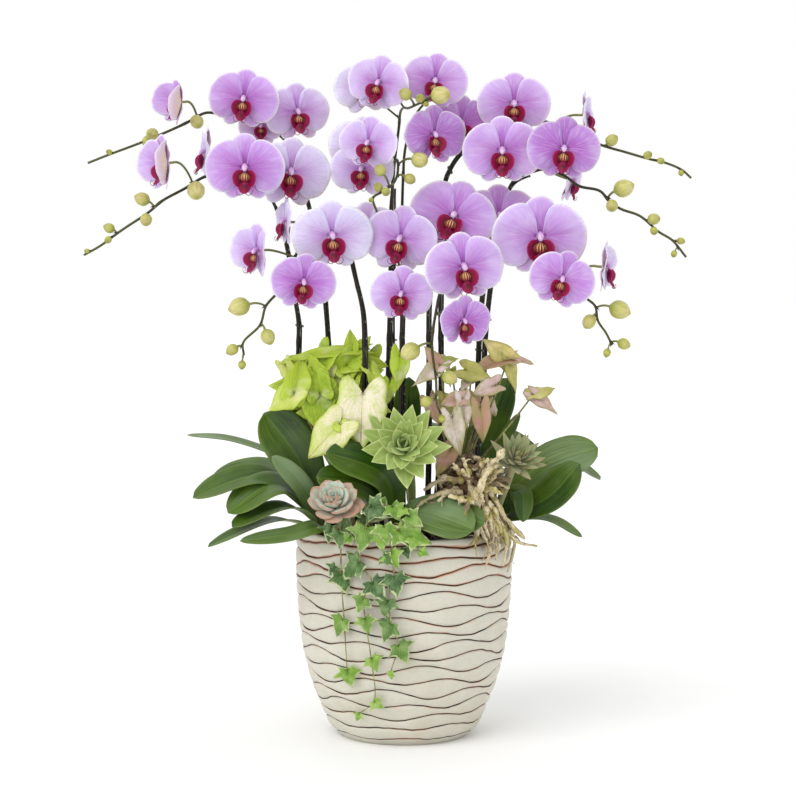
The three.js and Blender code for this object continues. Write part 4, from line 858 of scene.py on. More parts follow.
def pot_look():
    """Cream glaze, dark in the grooves, with rust stains beside them. The grain's second value is how far
    it is from a groove in millimetres and the third one how stained the place is."""
    look = Look("pot_glaze", 0.5, Specular_IOR_Level=0.35)
    _, apart, stain = look.grain
    cloud = look.noise(look.place, 14, 5, 0.6)
    long = look.noise(look.node("Mapping", {"Vector": look.place, "Scale": (1, 1, 5)}), 34, 5, 0.65)
    look.colour = look.ramp(cloud, (0.3, (200, 198, 183)), (0.5, (209, 205, 190)), (0.7, (196, 191, 173)))
    fine = look.blotch((190, 184, 168), 300, 0.45, 0.7, 0.25, 4, 0.6)
    look.cover(look.fade(long, 0.52, 0.75, 0, 0.3), (198, 176, 150))
    near = look.fade(apart - (long * 2.4 + stain * 0.7 - 1.2), 0.4, 1.6, 1, 0)
    look.cover(near * look.fade(stain + long, 0.66, 1.3, 0, 0.75), (190, 124, 86))
    groove = look.fade(apart + (long - 0.5) * 1.4, 0.5, 0.95, 1, 0)
    rust = look.fade(look.noise(look.place, 40), 0.5, 0.66, 0, 0.6)
    look.cover(groove, look.mix(rust, (40, 27, 21), (118, 66, 44)))
    return look.finish(fine * 0.4 + cloud, 0.35, 0.0012)


BLOOM_LOOKS = [petal_look(), lip_look(), callus_look(), column_look()]

# One bloom about its own centre: x to its right as seen, y up, z towards the front.
# Each outline starts beside the centre and goes round to the other side of it
PETAL_OUTLINE = [
    (3.5, -1), (7, -9), (10, -18), (16, -25), (26, -26.5), (35.5, -22), (42, -12), (44.5, -1), (43.5, 9),
    (38.5, 19), (30, 27), (20, 31), (11.5, 30), (6, 23), (3.5, 12), (2.5, 4),
]
UPPER_SEPAL = [
    (3, 1.5), (9, 8), (14, 17), (15.5, 25), (12, 33), (5, 38), (-5, 38), (-12, 33), (-15.5, 25), (-14, 17),
    (-9, 8), (-3, 1.5),
]
LOWER_SEPAL = [
    (2, 1), (6, -6), (11, -14), (13, -22), (10.5, -30), (5, -35.5), (-3, -35), (-9, -28), (-10.5, -20),
    (-8, -11), (-4, -4), (-1, 1),
]
LOWER_SEPAL_TURN = 28.0
SIDE_LOBE = [
    (1.5, -3.5), (5, -1.6), (9.5, -2.6), (12.6, -6.8), (13, -12), (11.6, -17), (8, -21), (3.5, -21.5),
    (0.5, -17),
]
MIDDLE_LOBE = [
    (0.5, -15), (3.6, -16.5), (6, -19), (6.6, -22), (5.6, -24.8), (3.4, -27), (1.2, -28), (-1.2, -28),
    (-3.4, -27), (-5.6, -24.8), (-6.6, -22), (-6, -19), (-3.6, -16.5), (-0.5, -15),
]
TENDRIL = [(1, -27, 12), (4, -29.5, 14), (8, -28, 15.5), (9, -24, 16), (6.4, -22, 16), (5, -24.4, 15.8)]
TENDRIL_RADII = np.linspace(0.5, 0.22, 16)
COLUMN_LINE = [(0, 3.4, -2), (0, 3.2, 3), (0, 1.6, 7), (0, -2.4, 10.4)]
COLUMN_RADII = np.array([2.1, 2.1, 2.3, 2.5, 2.8, 3.1, 3.2, 2.8, 1.7])

# The rows and columns of a tepal's grid, the level of its base, its arch, the waves of its rim and its
# darkness
PETAL_FORM = (13, 34, 1.4, 2.8, 2.1, 0.0)
LOWER_FORM = (9, 20, -1.4, 1.4, 1.0, 0.08)
UPPER_FORM = (9, 20, -1.8, 1.9, 1.0, 0.22)
TEPAL_THICKNESS = 0.8
LIP_THICKNESS = 0.9

# How far out from its base a blade starts, as a share of the way to its outline
BLADE_START = 0.03


def handed(outline, hand):
    """An outline as it is, or its mirror image for the other hand, which goes round the same way."""
    return outline if hand > 0 else [(-x, y) for x, y in outline[::-1]]


def fan(base, outline, rows, columns, relief):
    """A grid of points that opens from a base to an outline, with its height from relief."""
    rim = curve(outline, columns)
    out = np.linspace(BLADE_START, 1, rows)[:, None, None]
    flat = np.asarray(base, float) + out * (rim[None] - base)
    share = np.broadcast_to(out[..., 0], flat.shape[:2])
    round_it = np.broadcast_to(np.linspace(0, 1, columns)[None], flat.shape[:2])
    return np.dstack([flat, relief(flat[..., 0], flat[..., 1], share, round_it)])


def bloom_basis(turn, tilt, roll):
    """The directions of a bloom's own x, y and z, as rows."""
    a, b, c = (math.radians(v) for v in (turn, -tilt, roll))
    about_z = np.array([[math.cos(a), -math.sin(a), 0], [math.sin(a), math.cos(a), 0], [0, 0, 1]])
    about_x = np.array([[1, 0, 0], [0, math.cos(b), -math.sin(b)], [0, math.sin(b), math.cos(b)]])
    about_y = np.array([[math.cos(c), 0, math.sin(c)], [0, 1, 0], [-math.sin(c), 0, math.cos(c)]])
    front = np.array([[1, 0, 0], [0, 0, -1], [0, 1, 0]])
    return (about_z @ about_x @ about_y @ front).T


def callus_rings():
    """The ridged swelling at the middle of the lip."""
    turns = angles(16)
    ridge = 1 + 0.16 * np.cos(6 * turns)
    rings = []
    for t in np.linspace(0.04, 0.96, 9):
        wide = math.sin(math.pi * t) ** 0.6
        x = 5.6 * wide * np.cos(turns) * ridge
        z = 6.8 + 2.8 * wide * np.sin(turns) * ridge + 1.2 * math.sin(math.pi * t)
        rings.append(np.stack([x, np.full(len(turns), -4.5 - 12.5 * t), z], 1))
    return np.array(rings)


def make_bloom(name, number):
    """Five tepals, a three-lobed lip with its callus and two tendrils, and the column."""
    px, py, depth, turn, tilt, roll, span, cup, pale = BLOOMS[name]
    rng = np.random.default_rng(100 + number)
    place, basis, scale = seen(px, py, depth), bloom_basis(turn, tilt, roll), span / BLOOM_SPAN
    piece = Piece()

    def set_out(local):
        x, y, z = local[..., 0], local[..., 1], local[..., 2]
        nearer = np.maximum(x, 0)
        over = FOLDED.get(name, 0) * 0.012 * nearer * nearer
        held = np.stack([x - 0.35 * over, y, z + cup * 0.016 * (x * x + 0.6 * y * y) + over], -1)
        return place + scale * held @ basis

    def tepal(outline, base, form):
        rows, columns, level, arch, wave, dark = form
        phase, lobes = rng.uniform(0, TURN), rng.uniform(2.2, 3.4)
        bow = rng.uniform(-0.6, 0.6)

        def relief(_x, _y, out, round_it):
            ripple = wave * out**2.5 * np.sin(lobes * TURN * round_it + phase)
            ripple += 0.4 * wave * out**4 * np.sin(2.7 * lobes * TURN * round_it + 2 * phase)
            groove = -0.7 * np.exp(-(((round_it - 0.5) / 0.05) ** 2)) * np.sin(math.pi * out)
            bend = level + arch * np.sin(math.pi * out * 0.9) - arch * 0.9 * out**2.5
            return bend + ripple + groove + bow * out

        grid = set_out(fan(base, outline, rows, columns, relief))
        along = np.meshgrid(np.linspace(-1, 1, columns), np.linspace(BLADE_START, 1, rows))
        piece.plate(grid[:, ::-1], TEPAL_THICKNESS * scale, PETAL, pale - dark, along)

    angle = math.radians(LOWER_SEPAL_TURN)
    for hand in (1, -1):
        grow = rng.uniform(0.97, 1.03)
        petal = [(x * grow, y * grow) for x, y in PETAL_OUTLINE]
        tepal(handed(petal, hand), (2.5 * hand, 1.0), PETAL_FORM)
        reach = rng.uniform(1.02, 1.12)
        longer = [(x, y * reach) for x, y in LOWER_SEPAL[::-1]]
        turned = [(x * math.cos(angle) - y * math.sin(angle), x * math.sin(angle) + y * math.cos(angle))
                  for x, y in longer]
        tepal(handed(turned, hand), (0.8 * hand, 0.0), LOWER_FORM)
    tepal(handed(UPPER_SEPAL, -1), (0.0, 1.0), UPPER_FORM)

    for hand in (1, -1):
        grid = fan((2.5 * hand, -10.0), handed(SIDE_LOBE, hand), 8, 18,
                   lambda x, y, out, _: 4.5 + 8.5 * (np.abs(x) / 13) ** 1.5 + 1.2 * out**2)
        piece.plate(set_out(grid), TEPAL_THICKNESS * scale, LIP)
    grid = fan((0.0, -19.0), MIDDLE_LOBE, 8, 26,
               lambda x, y, out, _: 8.6 + 0.4 * (-y - 13) + 1.6 * np.exp(-(x / 3) ** 2) - 0.05 * x * x)
    piece.plate(set_out(grid[:, ::-1]), LIP_THICKNESS * scale, LIP)
    piece.skin(set_out(callus_rings()), CALLUS)

    piece.tube(set_out(curve(COLUMN_LINE, len(COLUMN_RADII))), scale * COLUMN_RADII, 12, COLUMN)
    from_x, from_y, _ = TENDRIL[0]
    for hand in (1, -1):
        curl = rng.uniform(0.75, 1.1)
        points = [(hand * (from_x + (x - from_x) * curl), from_y + (y - from_y) * curl, z)
                  for x, y, z in TENDRIL]
        piece.tube(set_out(curve(points, len(TENDRIL_RADII))), scale * TENDRIL_RADII, 5, LIP)
    piece.build("orchid_" + name, BLOOM_LOOKS, "orchid_bloom", "bloom_" + name)


# How wide a bud is from its stalk to its tip, as shares of its length
BUD_SWELL = [0.12, 0.26, 0.35, 0.40, 0.43, 0.44, 0.437, 0.425, 0.40, 0.36, 0.295, 0.2, 0.07]


class Spike:
    """A flower spike: its stem's line from the foot to the tip, with the pieces that hold it and its buds."""

    def __init__(self, name):
        (x, y), path = SPIKES[name]
        rise = [np.array([x, y, z]) for z in (FOOT_HEIGHT, MEDIUM_TOP, MEDIUM_TOP + 14)]
        self.line = curve([*rise, *[seen(*p) for p in path]], STEM_POINTS)
        self.way = unit(np.gradient(self.line, axis=0))
        self.stems, self.buds = Piece(), Piece()
        share = np.linspace(0, 1, STEM_POINTS)
        length = np.linalg.norm(np.diff(self.line, axis=0), axis=1).sum()
        self.radius = STEM_FOOT + (STEM_TIP - STEM_FOOT) * share
        for joint in np.arange(JOINT_FIRST, length * 0.9, JOINT_EVERY):
            self.radius = self.radius * (1 + 0.22 * np.exp(-(((share * length - joint) / 5) ** 2)))
        self.stems.tube(self.line, self.radius, 9, STEM)

    def leaving(self, place, backwards):
        """The index on the line nearest to a place, then a way back towards the foot."""
        step = np.linalg.norm(self.line[1] - self.line[0])
        nearest = int(np.argmin(np.linalg.norm(self.line - place, axis=1)))
        return max(2, nearest - round(backwards / step))

    def support(self):
        """The wire beside the stem, under it where it leans, and the pairs of clips round both."""
        level = np.minimum(1, 1.2 * np.hypot(self.way[:, 0], self.way[:, 1]))[:, None]
        off = np.array([WIRE_OFFSET, 0, 0]) * (1 - level) + np.array([0, 0, -WIRE_OFFSET]) * level
        last = round(STEM_POINTS * WIRE_SHARE)
        wire = (self.line + off)[2:last]
        wire[:4] = self.line[2:6] + off[2:6] * np.linspace(0.4, 1, 4)[:, None]
        self.stems.tube(wire, WIRE_RADIUS, 6, WIRE)
        for at in range(CLIP_FIRST, last - 8, CLIP_EVERY):
            across, r = unit(off[at]), self.radius[at]
            other = unit(np.cross(self.way[at], across))
            oval = circle(angles(12), across * (r + 3), other * (r + 0.7))
            for k in (-0.8, 0.8):
                hoop = self.line[at] + off[at] * 0.5 + self.way[at] * k + oval
                self.stems.tube([*hoop, hoop[0]], CLIP_RADIUS, 5, CLIP)

    def bract(self, at, out):
        """A small scale where something leaves the stem."""
        way, r = self.way[at], self.radius[at]
        start = self.line[at] - way * 3
        points = [start, start + way * 3 + out * r, start + way * 7 + out * (r + 2)]
        self.stems.tube(curve(points, 5), r * np.array([1.05, 1.1, 0.9, 0.5, 0.1]), 7, STEM, squash=0.7)

    def stalk(self, px, py, depth, turn, tilt, roll, span):
        """The stalk of a bloom, which ends inside the bloom."""
        place, front, scale = seen(px, py, depth), bloom_basis(turn, tilt, roll)[2], span / BLOOM_SPAN
        back, neck = place - front * 1.6 * scale, place - front * (STUB * scale + 0.95)
        at = self.leaving(neck, 10)
        start = self.line[at]
        reach = np.linalg.norm(neck - start)
        points = bent(start, neck - front * reach * 0.5 + (neck - start) * 0.15, neck, 12)
        self.bract(at, unit(points[3] - points[0]))
        points = np.vstack([points, curve([neck, (neck + back) / 2, back], 5)[1:]])
        self.stems.tube(points, np.linspace(1.25, 1.75, len(points)), 7, STALK)

    def bud(self, px, py, depth, size):
        """A bud with three seams, and its stalk."""
        place = seen(px, py, depth)
        at = self.leaving(place, size * 0.3)
        leave = self.line[at]
        out = unit(unit(place - leave) + np.array([0, 0, -0.25]))
        start = place - out * size / 2
        self.bract(at, unit(start - leave))
        bend = (start + leave) / 2 + np.array([0, 0, 0.25]) * np.linalg.norm(start - leave)
        thick = max(0.8, min(1.3, size * 0.09))
        self.stems.tube(bent(leave, bend, start + out, 9), np.linspace(thick, thick * 1.25, 9), 6, STALK)
        side = unit(np.cross(out, [0.3, 1, 0.2]))
        turns = angles(14)
        seam = 1 - 0.045 * np.exp(-((np.mod(turns, TURN / 3) / 0.22) ** 2))
        around = 0.98 * size * seam[:, None] * circle(turns, side, np.cross(out, side))
        shares = np.linspace(0, 1, len(BUD_SWELL))
        self.buds.skin([start + out * s * size + w * around for s, w in zip(shares, BUD_SWELL)],
                       tint=min(1, max(0, (size - 9) / 14)))


def make_spikes():
    looks, bud_material = [stem_look(), stalk_look(), wire_look(), clip_look()], bud_look()
    for name in SPIKES:
        spike = Spike(name)
        spike.support()
        for bloom, row in BLOOMS.items():
            if bloom[0] == name:
                spike.stalk(*row[:7])
        for row in BUDS.get(name, []):
            spike.bud(*row)
        spike.stems.build("stem_" + name, looks, "flower_spike", "spike_" + name)
        if name in BUDS:
            spike.buds.build("buds_" + name, [bud_material], "flower_spike")


def foot_tube(piece, foot, top, radius, look=0):
    piece.tube(np.linspace((*foot, FOOT_HEIGHT), (*foot, top), 8), radius, 10, look)


# How broad a strap leaf is on its way out: shares of its length, then of its width
LEAF_ROWS, LEAF_COLUMNS = 44, 15
LEAF_THICKNESS = 1.9
NARROW_LEAF = 40
NARROW_FORM = ([0, 0.4, 0.8, 1], [0.2, 0.9, 0.88, 0.6])
BROAD_FORM = ([0, 0.3, 0.62, 0.88, 1], [0.14, 0.6, 1, 0.92, 0.8])
TIP_FROM = 0.78


def strap_leaf(piece, start, path, width, face, fold, tint, phase):
    """A keeled strap leaf from the crown to a rounded tip."""
    line = curve([start, *[seen(*p) for p in path]], LEAF_ROWS)
    t = np.linspace(0, 1, LEAF_ROWS)
    broad = np.interp(t, *(NARROW_FORM if width < NARROW_LEAF else BROAD_FORM))
    broad = np.convolve(np.pad(broad, 4, mode="edge"), np.ones(9) / 9, mode="valid")
    broad *= np.sqrt(np.clip(1 - np.clip((t - TIP_FROM) / (1 - TIP_FROM), 0, 1) ** 2.2, 0.0008, 1))
    way = unit(np.gradient(line, axis=0))
    side = unit(np.cross(way, np.broadcast_to(face, way.shape)))
    normal = unit(np.cross(side, way))
    u = np.linspace(-1, 1, LEAF_COLUMNS)[None]
    reach = (width / 2 * broad)[:, None]
    angle = math.radians(fold)
    ripple = 1.1 * np.sin(5 * t[:, None] + phase + 1.5 * u) * np.abs(u) * np.minimum(1, reach / 12)
    lift = np.sqrt(u**2 + 0.02) * reach * math.sin(angle) + ripple
    level = u * reach * math.cos(angle)
    grid = line[:, None] + side[:, None] * level[..., None] + normal[:, None] * lift[..., None]
    piece.plate(grid, LEAF_THICKNESS, tint=tint)


def make_rosettes():
    leaf = orchid_leaf_look()
    for name, (foot, leaves) in ROSETTES.items():
        piece = Piece()
        foot_tube(piece, foot, CROWN_TOP, 7.6)
        for i, (path, width, face, fold, tint) in enumerate(leaves):
            start = np.array([*foot, CROWN_TOP - 3 - 3 * i])
            out = (seen(*path[0]) - start) * [1, 1, 0]
            strap_leaf(piece, start + unit(out) * 5, path, width, face, fold, tint, i * 1.7)
        piece.build("straps_" + name, [leaf], "orchid_leaf", "orchid_leaves_" + name)


# Half outlines from the joint to the tip, as shares of the width across and of the length along
ARROWHEAD = [
    (0.015, -0.02), (0.06, -0.1), (0.15, -0.25), (0.27, -0.34), (0.36, -0.26), (0.4, -0.08), (0.38, 0.06),
    (0.41, 0.2), (0.41, 0.33), (0.34, 0.52), (0.21, 0.74), (0.09, 0.92), (0.0, 1.05),
]
IVY = [
    (0.02, 0.0), (0.12, -0.12), (0.31, -0.2), (0.31, -0.06), (0.34, 0.04), (0.46, 0.1), (0.57, 0.22),
    (0.41, 0.3), (0.27, 0.4), (0.23, 0.54), (0.17, 0.72), (0.08, 0.9), (0.0, 1.06),
]


def with_middles(points):
    """The points of an outline and the middle of each of its edges."""
    p = np.asarray(points, float)
    both = np.zeros((2 * len(p) - 1, 2))
    both[::2] = p
    both[1::2] = (p[1:] + p[:-1]) / 2
    return both


# Each kind of blade: its half outline, the rows of its grid, its thickness and the lift of its middle
VINE_BLADE = (curve(ARROWHEAD, 20), 11, 0.7, 2.4)
IVY_BLADE = (with_middles(IVY), 7, 0.6, 2.2)


def blade(piece, kind, joint, tip, face, width, fold, wave, tint, phase):
    """A leaf blade that opens from its joint, folded along its midrib and waved towards its edge."""
    half, rows, thickness, lift = kind
    length = np.linalg.norm(tip - joint)
    along = unit(tip - joint)
    side = unit(np.cross(along, face))
    normal = unit(np.cross(side, along))
    rim = np.vstack([half, half[-2::-1] * [-1, 1]])
    out = np.linspace(BLADE_START, 1, rows)[:, None]
    u, v = out * rim[None, :, 0], out * rim[None, :, 1]
    round_it = np.linspace(-1, 1, len(rim))[None]
    ripple = out**2 * np.sin(9 * round_it + phase) + 0.35 * out**4 * np.sin(23 * round_it + 2 * phase)
    height = (np.abs(u) * width * fold + lift * np.minimum(1, out * 4) - 0.1 * length * v * v
              + wave * width * ripple - 0.05 * width * out**4)
    level = joint + along * (v * length)[..., None] + side * (u * width)[..., None]
    grid = level + normal * height[..., None]
    across = u / np.maximum(np.abs(u) + np.abs(v) * 0.5, 1e-6)
    piece.plate(grid[:, ::-1], thickness, LEAF, tint, (across[:, ::-1], np.broadcast_to(out, u.shape)))


def level_ring(rise, sides):
    """A ring of points on a ball of radius 1, at an angle up from its lowest point."""
    turns = angles(sides)
    points = [math.sin(rise) * np.cos(turns), math.sin(rise) * np.sin(turns), np.full(sides, -math.cos(rise))]
    return np.stack(points, 1)


def vine_fill(name, rng):
    """The joints and blades that fill a vine's cluster."""
    (px, py), (wide, tall), depth, count, widths, tints, leaning = VINE_FILL[name]
    for i in range(count):
        spin, r = i * GOLDEN_TURN, math.sqrt((i + 0.5) / count)
        back = depth + rng.uniform(-12, 34) * r
        middle = np.array([px + wide * r * math.cos(spin), py + tall * r * math.sin(spin)])
        width = rng.uniform(*widths)
        lean = 0.8 * math.cos(spin) * r + rng.normal(0, leaning)
        half = 0.5 * width / PIXEL * rng.uniform(0.9, 1.2) * np.array([math.sin(lean), math.cos(lean)])
        face = (rng.uniform(-0.8, 0.8), -1, rng.uniform(-0.1, 0.9))
        tint = tints[i % len(tints)] + rng.uniform(-0.08, 0.08)
        yield (*(middle - half), back + 10), [((*(middle + half), back), width, face, tint)]


def make_vines():
    leaves = {
        "lime": arrow_leaf_look(
            "lime_leaf", [(0, (124, 160, 18)), (0.2, (156, 186, 36)), (0.45, (186, 206, 78)),
                          (0.75, (220, 216, 150)), (1, (236, 226, 200))],
            (208, 220, 120), (178, 150, 104), (178, 200, 62)),
        "pink": arrow_leaf_look(
            "pink_leaf", [(0, (230, 210, 132)), (0.2, (150, 168, 62)), (0.5, (188, 134, 128)),
                          (0.8, (212, 184, 180)), (1, (226, 216, 210))],
            (160, 150, 92), (168, 128, 116), (158, 160, 92)),
    }
    stalk = ivy_stem_look()
    rng = np.random.default_rng(21)
    for name, (foot, fork, petioles) in VINES.items():
        piece = Piece()
        fork = np.array(fork, float)
        foot_tube(piece, foot, MEDIUM_TOP + 8, 4, LEAF_STEM)
        piece.tube(np.linspace((*foot, MEDIUM_TOP + 2), fork, 6), 3, 8, LEAF_STEM)
        piece.skin([fork + KNOB * 0.8 * level_ring(rise, 12) for rise in np.linspace(0.3, 2.8, 8)], LEAF_STEM)
        for k, (joint, blades) in enumerate([*petioles, *vine_fill(name, rng)]):
            end = seen(*joint)
            start = fork + unit(end - fork) * KNOB * 0.6
            bend = start + (end - start) * 0.65 + unit(blades[0][2]) * -5
            piece.tube(curve([start, bend, end], 16), np.linspace(1.5, 1.1, 16), 7, LEAF_STEM)
            for j, (tip, width, face, tint) in enumerate(blades):
                phase = k * 1.3 + j * 2.1
                wide = width > WIDE_BLADE
                fold = 0.16 if wide else 0.12 + 0.3 * math.sin(2.7 * phase) ** 2
                wave = 0.04 if wide else 0.12
                blade(piece, VINE_BLADE, end, seen(*tip), face, width, fold, wave, tint, phase)
        piece.build("vine_" + name, [leaves[name], stalk], name + "_leaf", "arrowhead_vine_" + name)


def succulent_leaf(piece, base, out, side, up, length, form, share):
    """A thick leaf, flat above and keeled below."""
    breadth, widest, blunt = form
    t = np.linspace(0.04, 1, 15)
    wide = np.where(t < widest, 0.3 + 0.7 * np.sin(np.clip(t / widest, 0, 1) * math.pi / 2) ** 1.3,
                    1 - np.clip((t - widest) / (1 - widest), 0, 1) ** blunt)
    turns = angles(14)
    across, deep = np.cos(turns), np.sin(turns)
    lift = np.where(deep > 0, 0.16, 0.34) * deep + 0.1 * across**2
    rings, grain = [], []
    for s, w in zip(t, np.maximum(wide, 0.02) * breadth * length / 2):
        centre = base + out * s * length + up * length * (0.16 * s * s - 0.02)
        rings.append(centre + w * (np.outer(across, side) + np.outer(lift, up)))
        grain.append(np.stack([across, np.full(len(turns), s), deep], 1))
    piece.skin(rings, tint=share, grain=np.array(grain))


def make_echeverias():
    shades = {
        "green": ((190, 202, 128), (148, 172, 88), (196, 210, 138), 0.68, 0),
        "blue": ((214, 228, 206), (182, 204, 190), (184, 138, 112), 0.78, 0.85),
        "dusky": ((174, 184, 122), (136, 154, 104), (158, 136, 106), 0.72, 0.4),
    }
    looks = {name: succulent_look(name + "_succulent", *shade) for name, shade in shades.items()}
    for name, (foot, bend, heart_at, turn, tilt, span, outer, leaves, *form) in ECHEVERIAS.items():
        heart, basis = seen(*heart_at), bloom_basis(turn, tilt, 0)
        axis = basis[2]
        piece = Piece()
        foot_tube(piece, foot, MEDIUM_TOP + 8, 4)
        stem = curve([(*foot, MEDIUM_TOP), bend, heart, heart + axis * span * 0.12], 24)
        piece.tube(stem, np.linspace(4, span * 0.07, 24), 10)
        for i in range(leaves):
            spin, share = i * GOLDEN_TURN, i / (outer - 1)
            if i >= outer:
                spin, share = spin + 1.2, 0.12 + 1.03 * (i - outer) / (leaves - outer)
            rise = math.radians(4 + 66 * share)
            level = math.cos(rise)
            out = np.array([math.cos(spin) * level, math.sin(spin) * level, math.sin(rise)]) @ basis
            side = unit(np.cross(axis, out))
            up = unit(np.cross(out, side))
            length = span / 2 * (1 - 0.5 * min(share, 1.2) ** 1.5)
            succulent_leaf(piece, heart + axis * span * 0.1 * share, out, side, up, length, form, share)
        piece.build("rosette_" + name, [looks[name]], name + "_succulent", "echeveria_" + name)


def make_ivy():
    piece = Piece()
    crown = np.array(IVY_CROWN, float)
    foot_tube(piece, IVY_FOOT, IVY_CROWN[2] + 2, 4, LEAF_STEM)
    leaves = []
    for shoot in IVY_SHOOTS:
        joints = [on_pot(px, py, stand) for px, py, _, _, stand, _ in shoot]
        line = curve([crown, on_pot(shoot[0][0], 524, 12), *joints], 90)
        piece.tube(line, np.linspace(1.3, 0.6, 90), 6, LEAF_STEM)
        leaves += zip(joints, shoot)
    for leaf in IVY_SMALL:
        px, py, _, _, stand, _ = leaf
        joint = on_pot(px, py, stand)
        near = min((other for other, _ in leaves), key=lambda other: np.linalg.norm(other - joint))
        piece.tube(bent(near, (near + joint) / 2 + [0, -3, 3], joint, 8), 0.6, 5, LEAF_STEM)
        leaves.append((joint, leaf))
    for k, (joint, (px, py, length, lean, stand, youth)) in enumerate(leaves):
        turn, size = math.radians(lean), length / PIXEL
        tip = on_pot(px + math.sin(turn) * size, py + math.cos(turn) * size * 0.85, stand + 1)
        face = (joint[0] / 260 + 0.35 * math.sin(2.3 * k), -1, 0.25 + 0.3 * math.sin(1.7 * k))
        blade(piece, IVY_BLADE, joint, tip, face, length * 1.15, 0.24, 0.05, youth, k * 1.9)
    for joint_at, tip, width, face, youth in IVY_TOP_LEAVES:
        joint = seen(*joint_at)
        blade(piece, IVY_BLADE, joint, seen(*tip), face, width * 1.3, 0.15, 0.03, youth, 0.7)
        piece.tube(bent(crown, (crown + joint) / 2 + [0, 0, 4], joint, 8), 1, 6, LEAF_STEM)
    piece.build("ivy_trails", [ivy_look(), ivy_stem_look()], "ivy_leaf", "ivy")


def root_core(piece, centre, radii):
    """The knobbly lump in the middle of the roots."""
    rings = []
    for rise in np.linspace(0.06, math.pi - 0.06, 26):
        n = level_ring(rise, 40)
        x, y, z = n.T
        bump = 1 + 0.16 * np.sin(7 * x + 3 * z) * np.cos(5 * y - 4 * z)
        bump += 0.08 * np.sin(19 * x + 11 * y) * np.sin(17 * z)
        rings.append(centre + n * bump[:, None] * radii * 0.84)
    # The lump keeps tint 0, the darkest root colour, as painted shade that shows in the gaps between the
    # strands.
    piece.skin(rings)


def make_roots():
    draws, rng = seeded_draws(11), np.random.default_rng(5)
    foot, centre_at, radii = ROOT_CORE
    centre, radii = seen(*centre_at), np.array(radii, float)
    piece = Piece()
    foot_tube(piece, foot, centre[2] - 8, 5)
    root_core(piece, centre, radii)

    def strand(points, thick, thin, tint, twigs=2, wriggle=1.2):
        """A knobbly root with a few twigs."""
        line = curve(points, 22)
        bends = np.cumsum(rng.normal(0, wriggle * 0.5, line.shape), axis=0)
        fixed = np.sin(np.linspace(0, math.pi, len(line)))[:, None]
        line = line + (bends - bends.mean(0)) * fixed * 0.6
        knots = 1 + np.convolve(rng.normal(0, 0.5, len(line) + 2), np.ones(3) / 3, "valid")
        radius = np.linspace(thick, thin, len(line)) * np.clip(knots, 0.55, 1.6)
        piece.tube(line, radius, 8, 0, tint, squash=rng.uniform(0.55, 0.95))
        for _ in range(twigs):
            at = rng.integers(5, 20)
            length = rng.uniform(5, 13)
            out = unit(rng.normal(0, 1, 3) + [0, -0.3, 0]) * length
            twig = curve([line[at], line[at] + out * 0.5, line[at] + out + [0, 0, -0.3 * length]], 6)
            piece.tube(twig, np.linspace(radius[at] * 0.6, 0.4, 6), 5, 0, min(1, tint + 0.15))

    # The main roots spread from the core
    for i in range(ROOTS_OUT):
        spin, rise = i * GOLDEN_TURN, -0.35 + 1.25 * next(draws)
        level = math.cos(rise)
        out = np.array([math.cos(spin) * level, -abs(math.sin(spin)) * level, math.sin(rise)])
        length = 40 + 24 * next(draws)
        middle = centre + out * length * 0.6 + np.array([0, 0, 7 * next(draws)])
        for k in range(2):
            spread = rng.normal(0, 6 * min(k, 1), 3)
            end = centre + out * length * (1 - 0.14 * k) + spread * 1.6
            strand([centre + out * length * 0.3, middle + spread, end], 5.0 - 0.8 * k, 1.9, 0.85 - 0.6 * k)

    # A tangle hangs over the pot's rim
    for i in range(ROOTS_HANGING):
        share = i / (ROOTS_HANGING - 1)
        px = 480 + 30 * share + 5 * (next(draws) - 0.5)
        low, stand = 552 + 20 * next(draws), 7 + 6 * next(draws)
        start = centre + np.array([-4 + 22 * share, -14, -10])
        end_px = px + 4 * (next(draws) - 0.5)
        for k in range(3):
            slip, stray = rng.normal(0, 5.0 * min(k, 1), 2)
            over = on_pot(px + slip, 526, stand + 4)
            end = on_pot(end_px + stray, low - 11 * k, stand - k * 0.8)
            sway = on_pot(px + rng.normal(0, 6), 542, stand + rng.uniform(-1, 3))
            strand([start + rng.normal(0, 6, 3), over, sway, end], 4.3 - 0.4 * k, 1.6, 1.0 - 0.35 * k, 3, 2.4)
    for points, thick, thin, tint in STOUT_ROOTS:
        strand([seen(*p) for p in points], thick, thin, tint, 1)

    # Roots wind round the core
    for _ in range(ROOTS_WOUND):
        spin, height = rng.uniform(0, TURN), rng.uniform(-0.8, 0.95)
        sweep = rng.uniform(0.35, 1.0) * rng.choice([-1, 1])
        climb = rng.uniform(-0.8, 0.8)
        points = []
        for t in np.linspace(0, 1, 5):
            a, z = spin + sweep * t, np.clip(height + climb * t, -0.96, 0.98)
            level = math.sqrt(1 - z * z)
            grow = 0.92 + 0.16 * math.sin(math.pi * t) + rng.uniform(-0.04, 0.1)
            points.append(centre + grow * radii * [level * math.cos(a), level * math.sin(a), z])
        strand(points, rng.uniform(2.6, 5.0), rng.uniform(1.4, 2.6), rng.choice([-0.2, 0.1, 0.8]))

    # Short stubs fill the gaps
    for i in range(ROOT_STUBS):
        n = unit(rng.normal(0, 1, 3))
        place = centre + n * radii * rng.uniform(0.85, 1.15)
        way = unit(n * 0.6 + rng.normal(0, 0.8, 3)) * rng.uniform(7, 13)
        points = [place - way, place + rng.normal(0, 2, 3), place + way]
        strand(points, rng.uniform(2.8, 5.2), 2.2, 0.1 if i % 3 else 0.9, 0)
    piece.build("dried_roots", [root_look()], "dried_roots", "root_clump")


# Between one groove and the next: the share of the way, and the swell there as a share of the ridge's depth
GROOVE = [
    (0.0, -1.0), (0.035, -0.85), (0.07, -0.2), (0.11, 0.25), (0.2, 0.62), (0.35, 0.9), (0.5, 1.0),
    (0.65, 0.9), (0.8, 0.62), (0.89, 0.25), (0.93, -0.2), (0.965, -0.85),
]
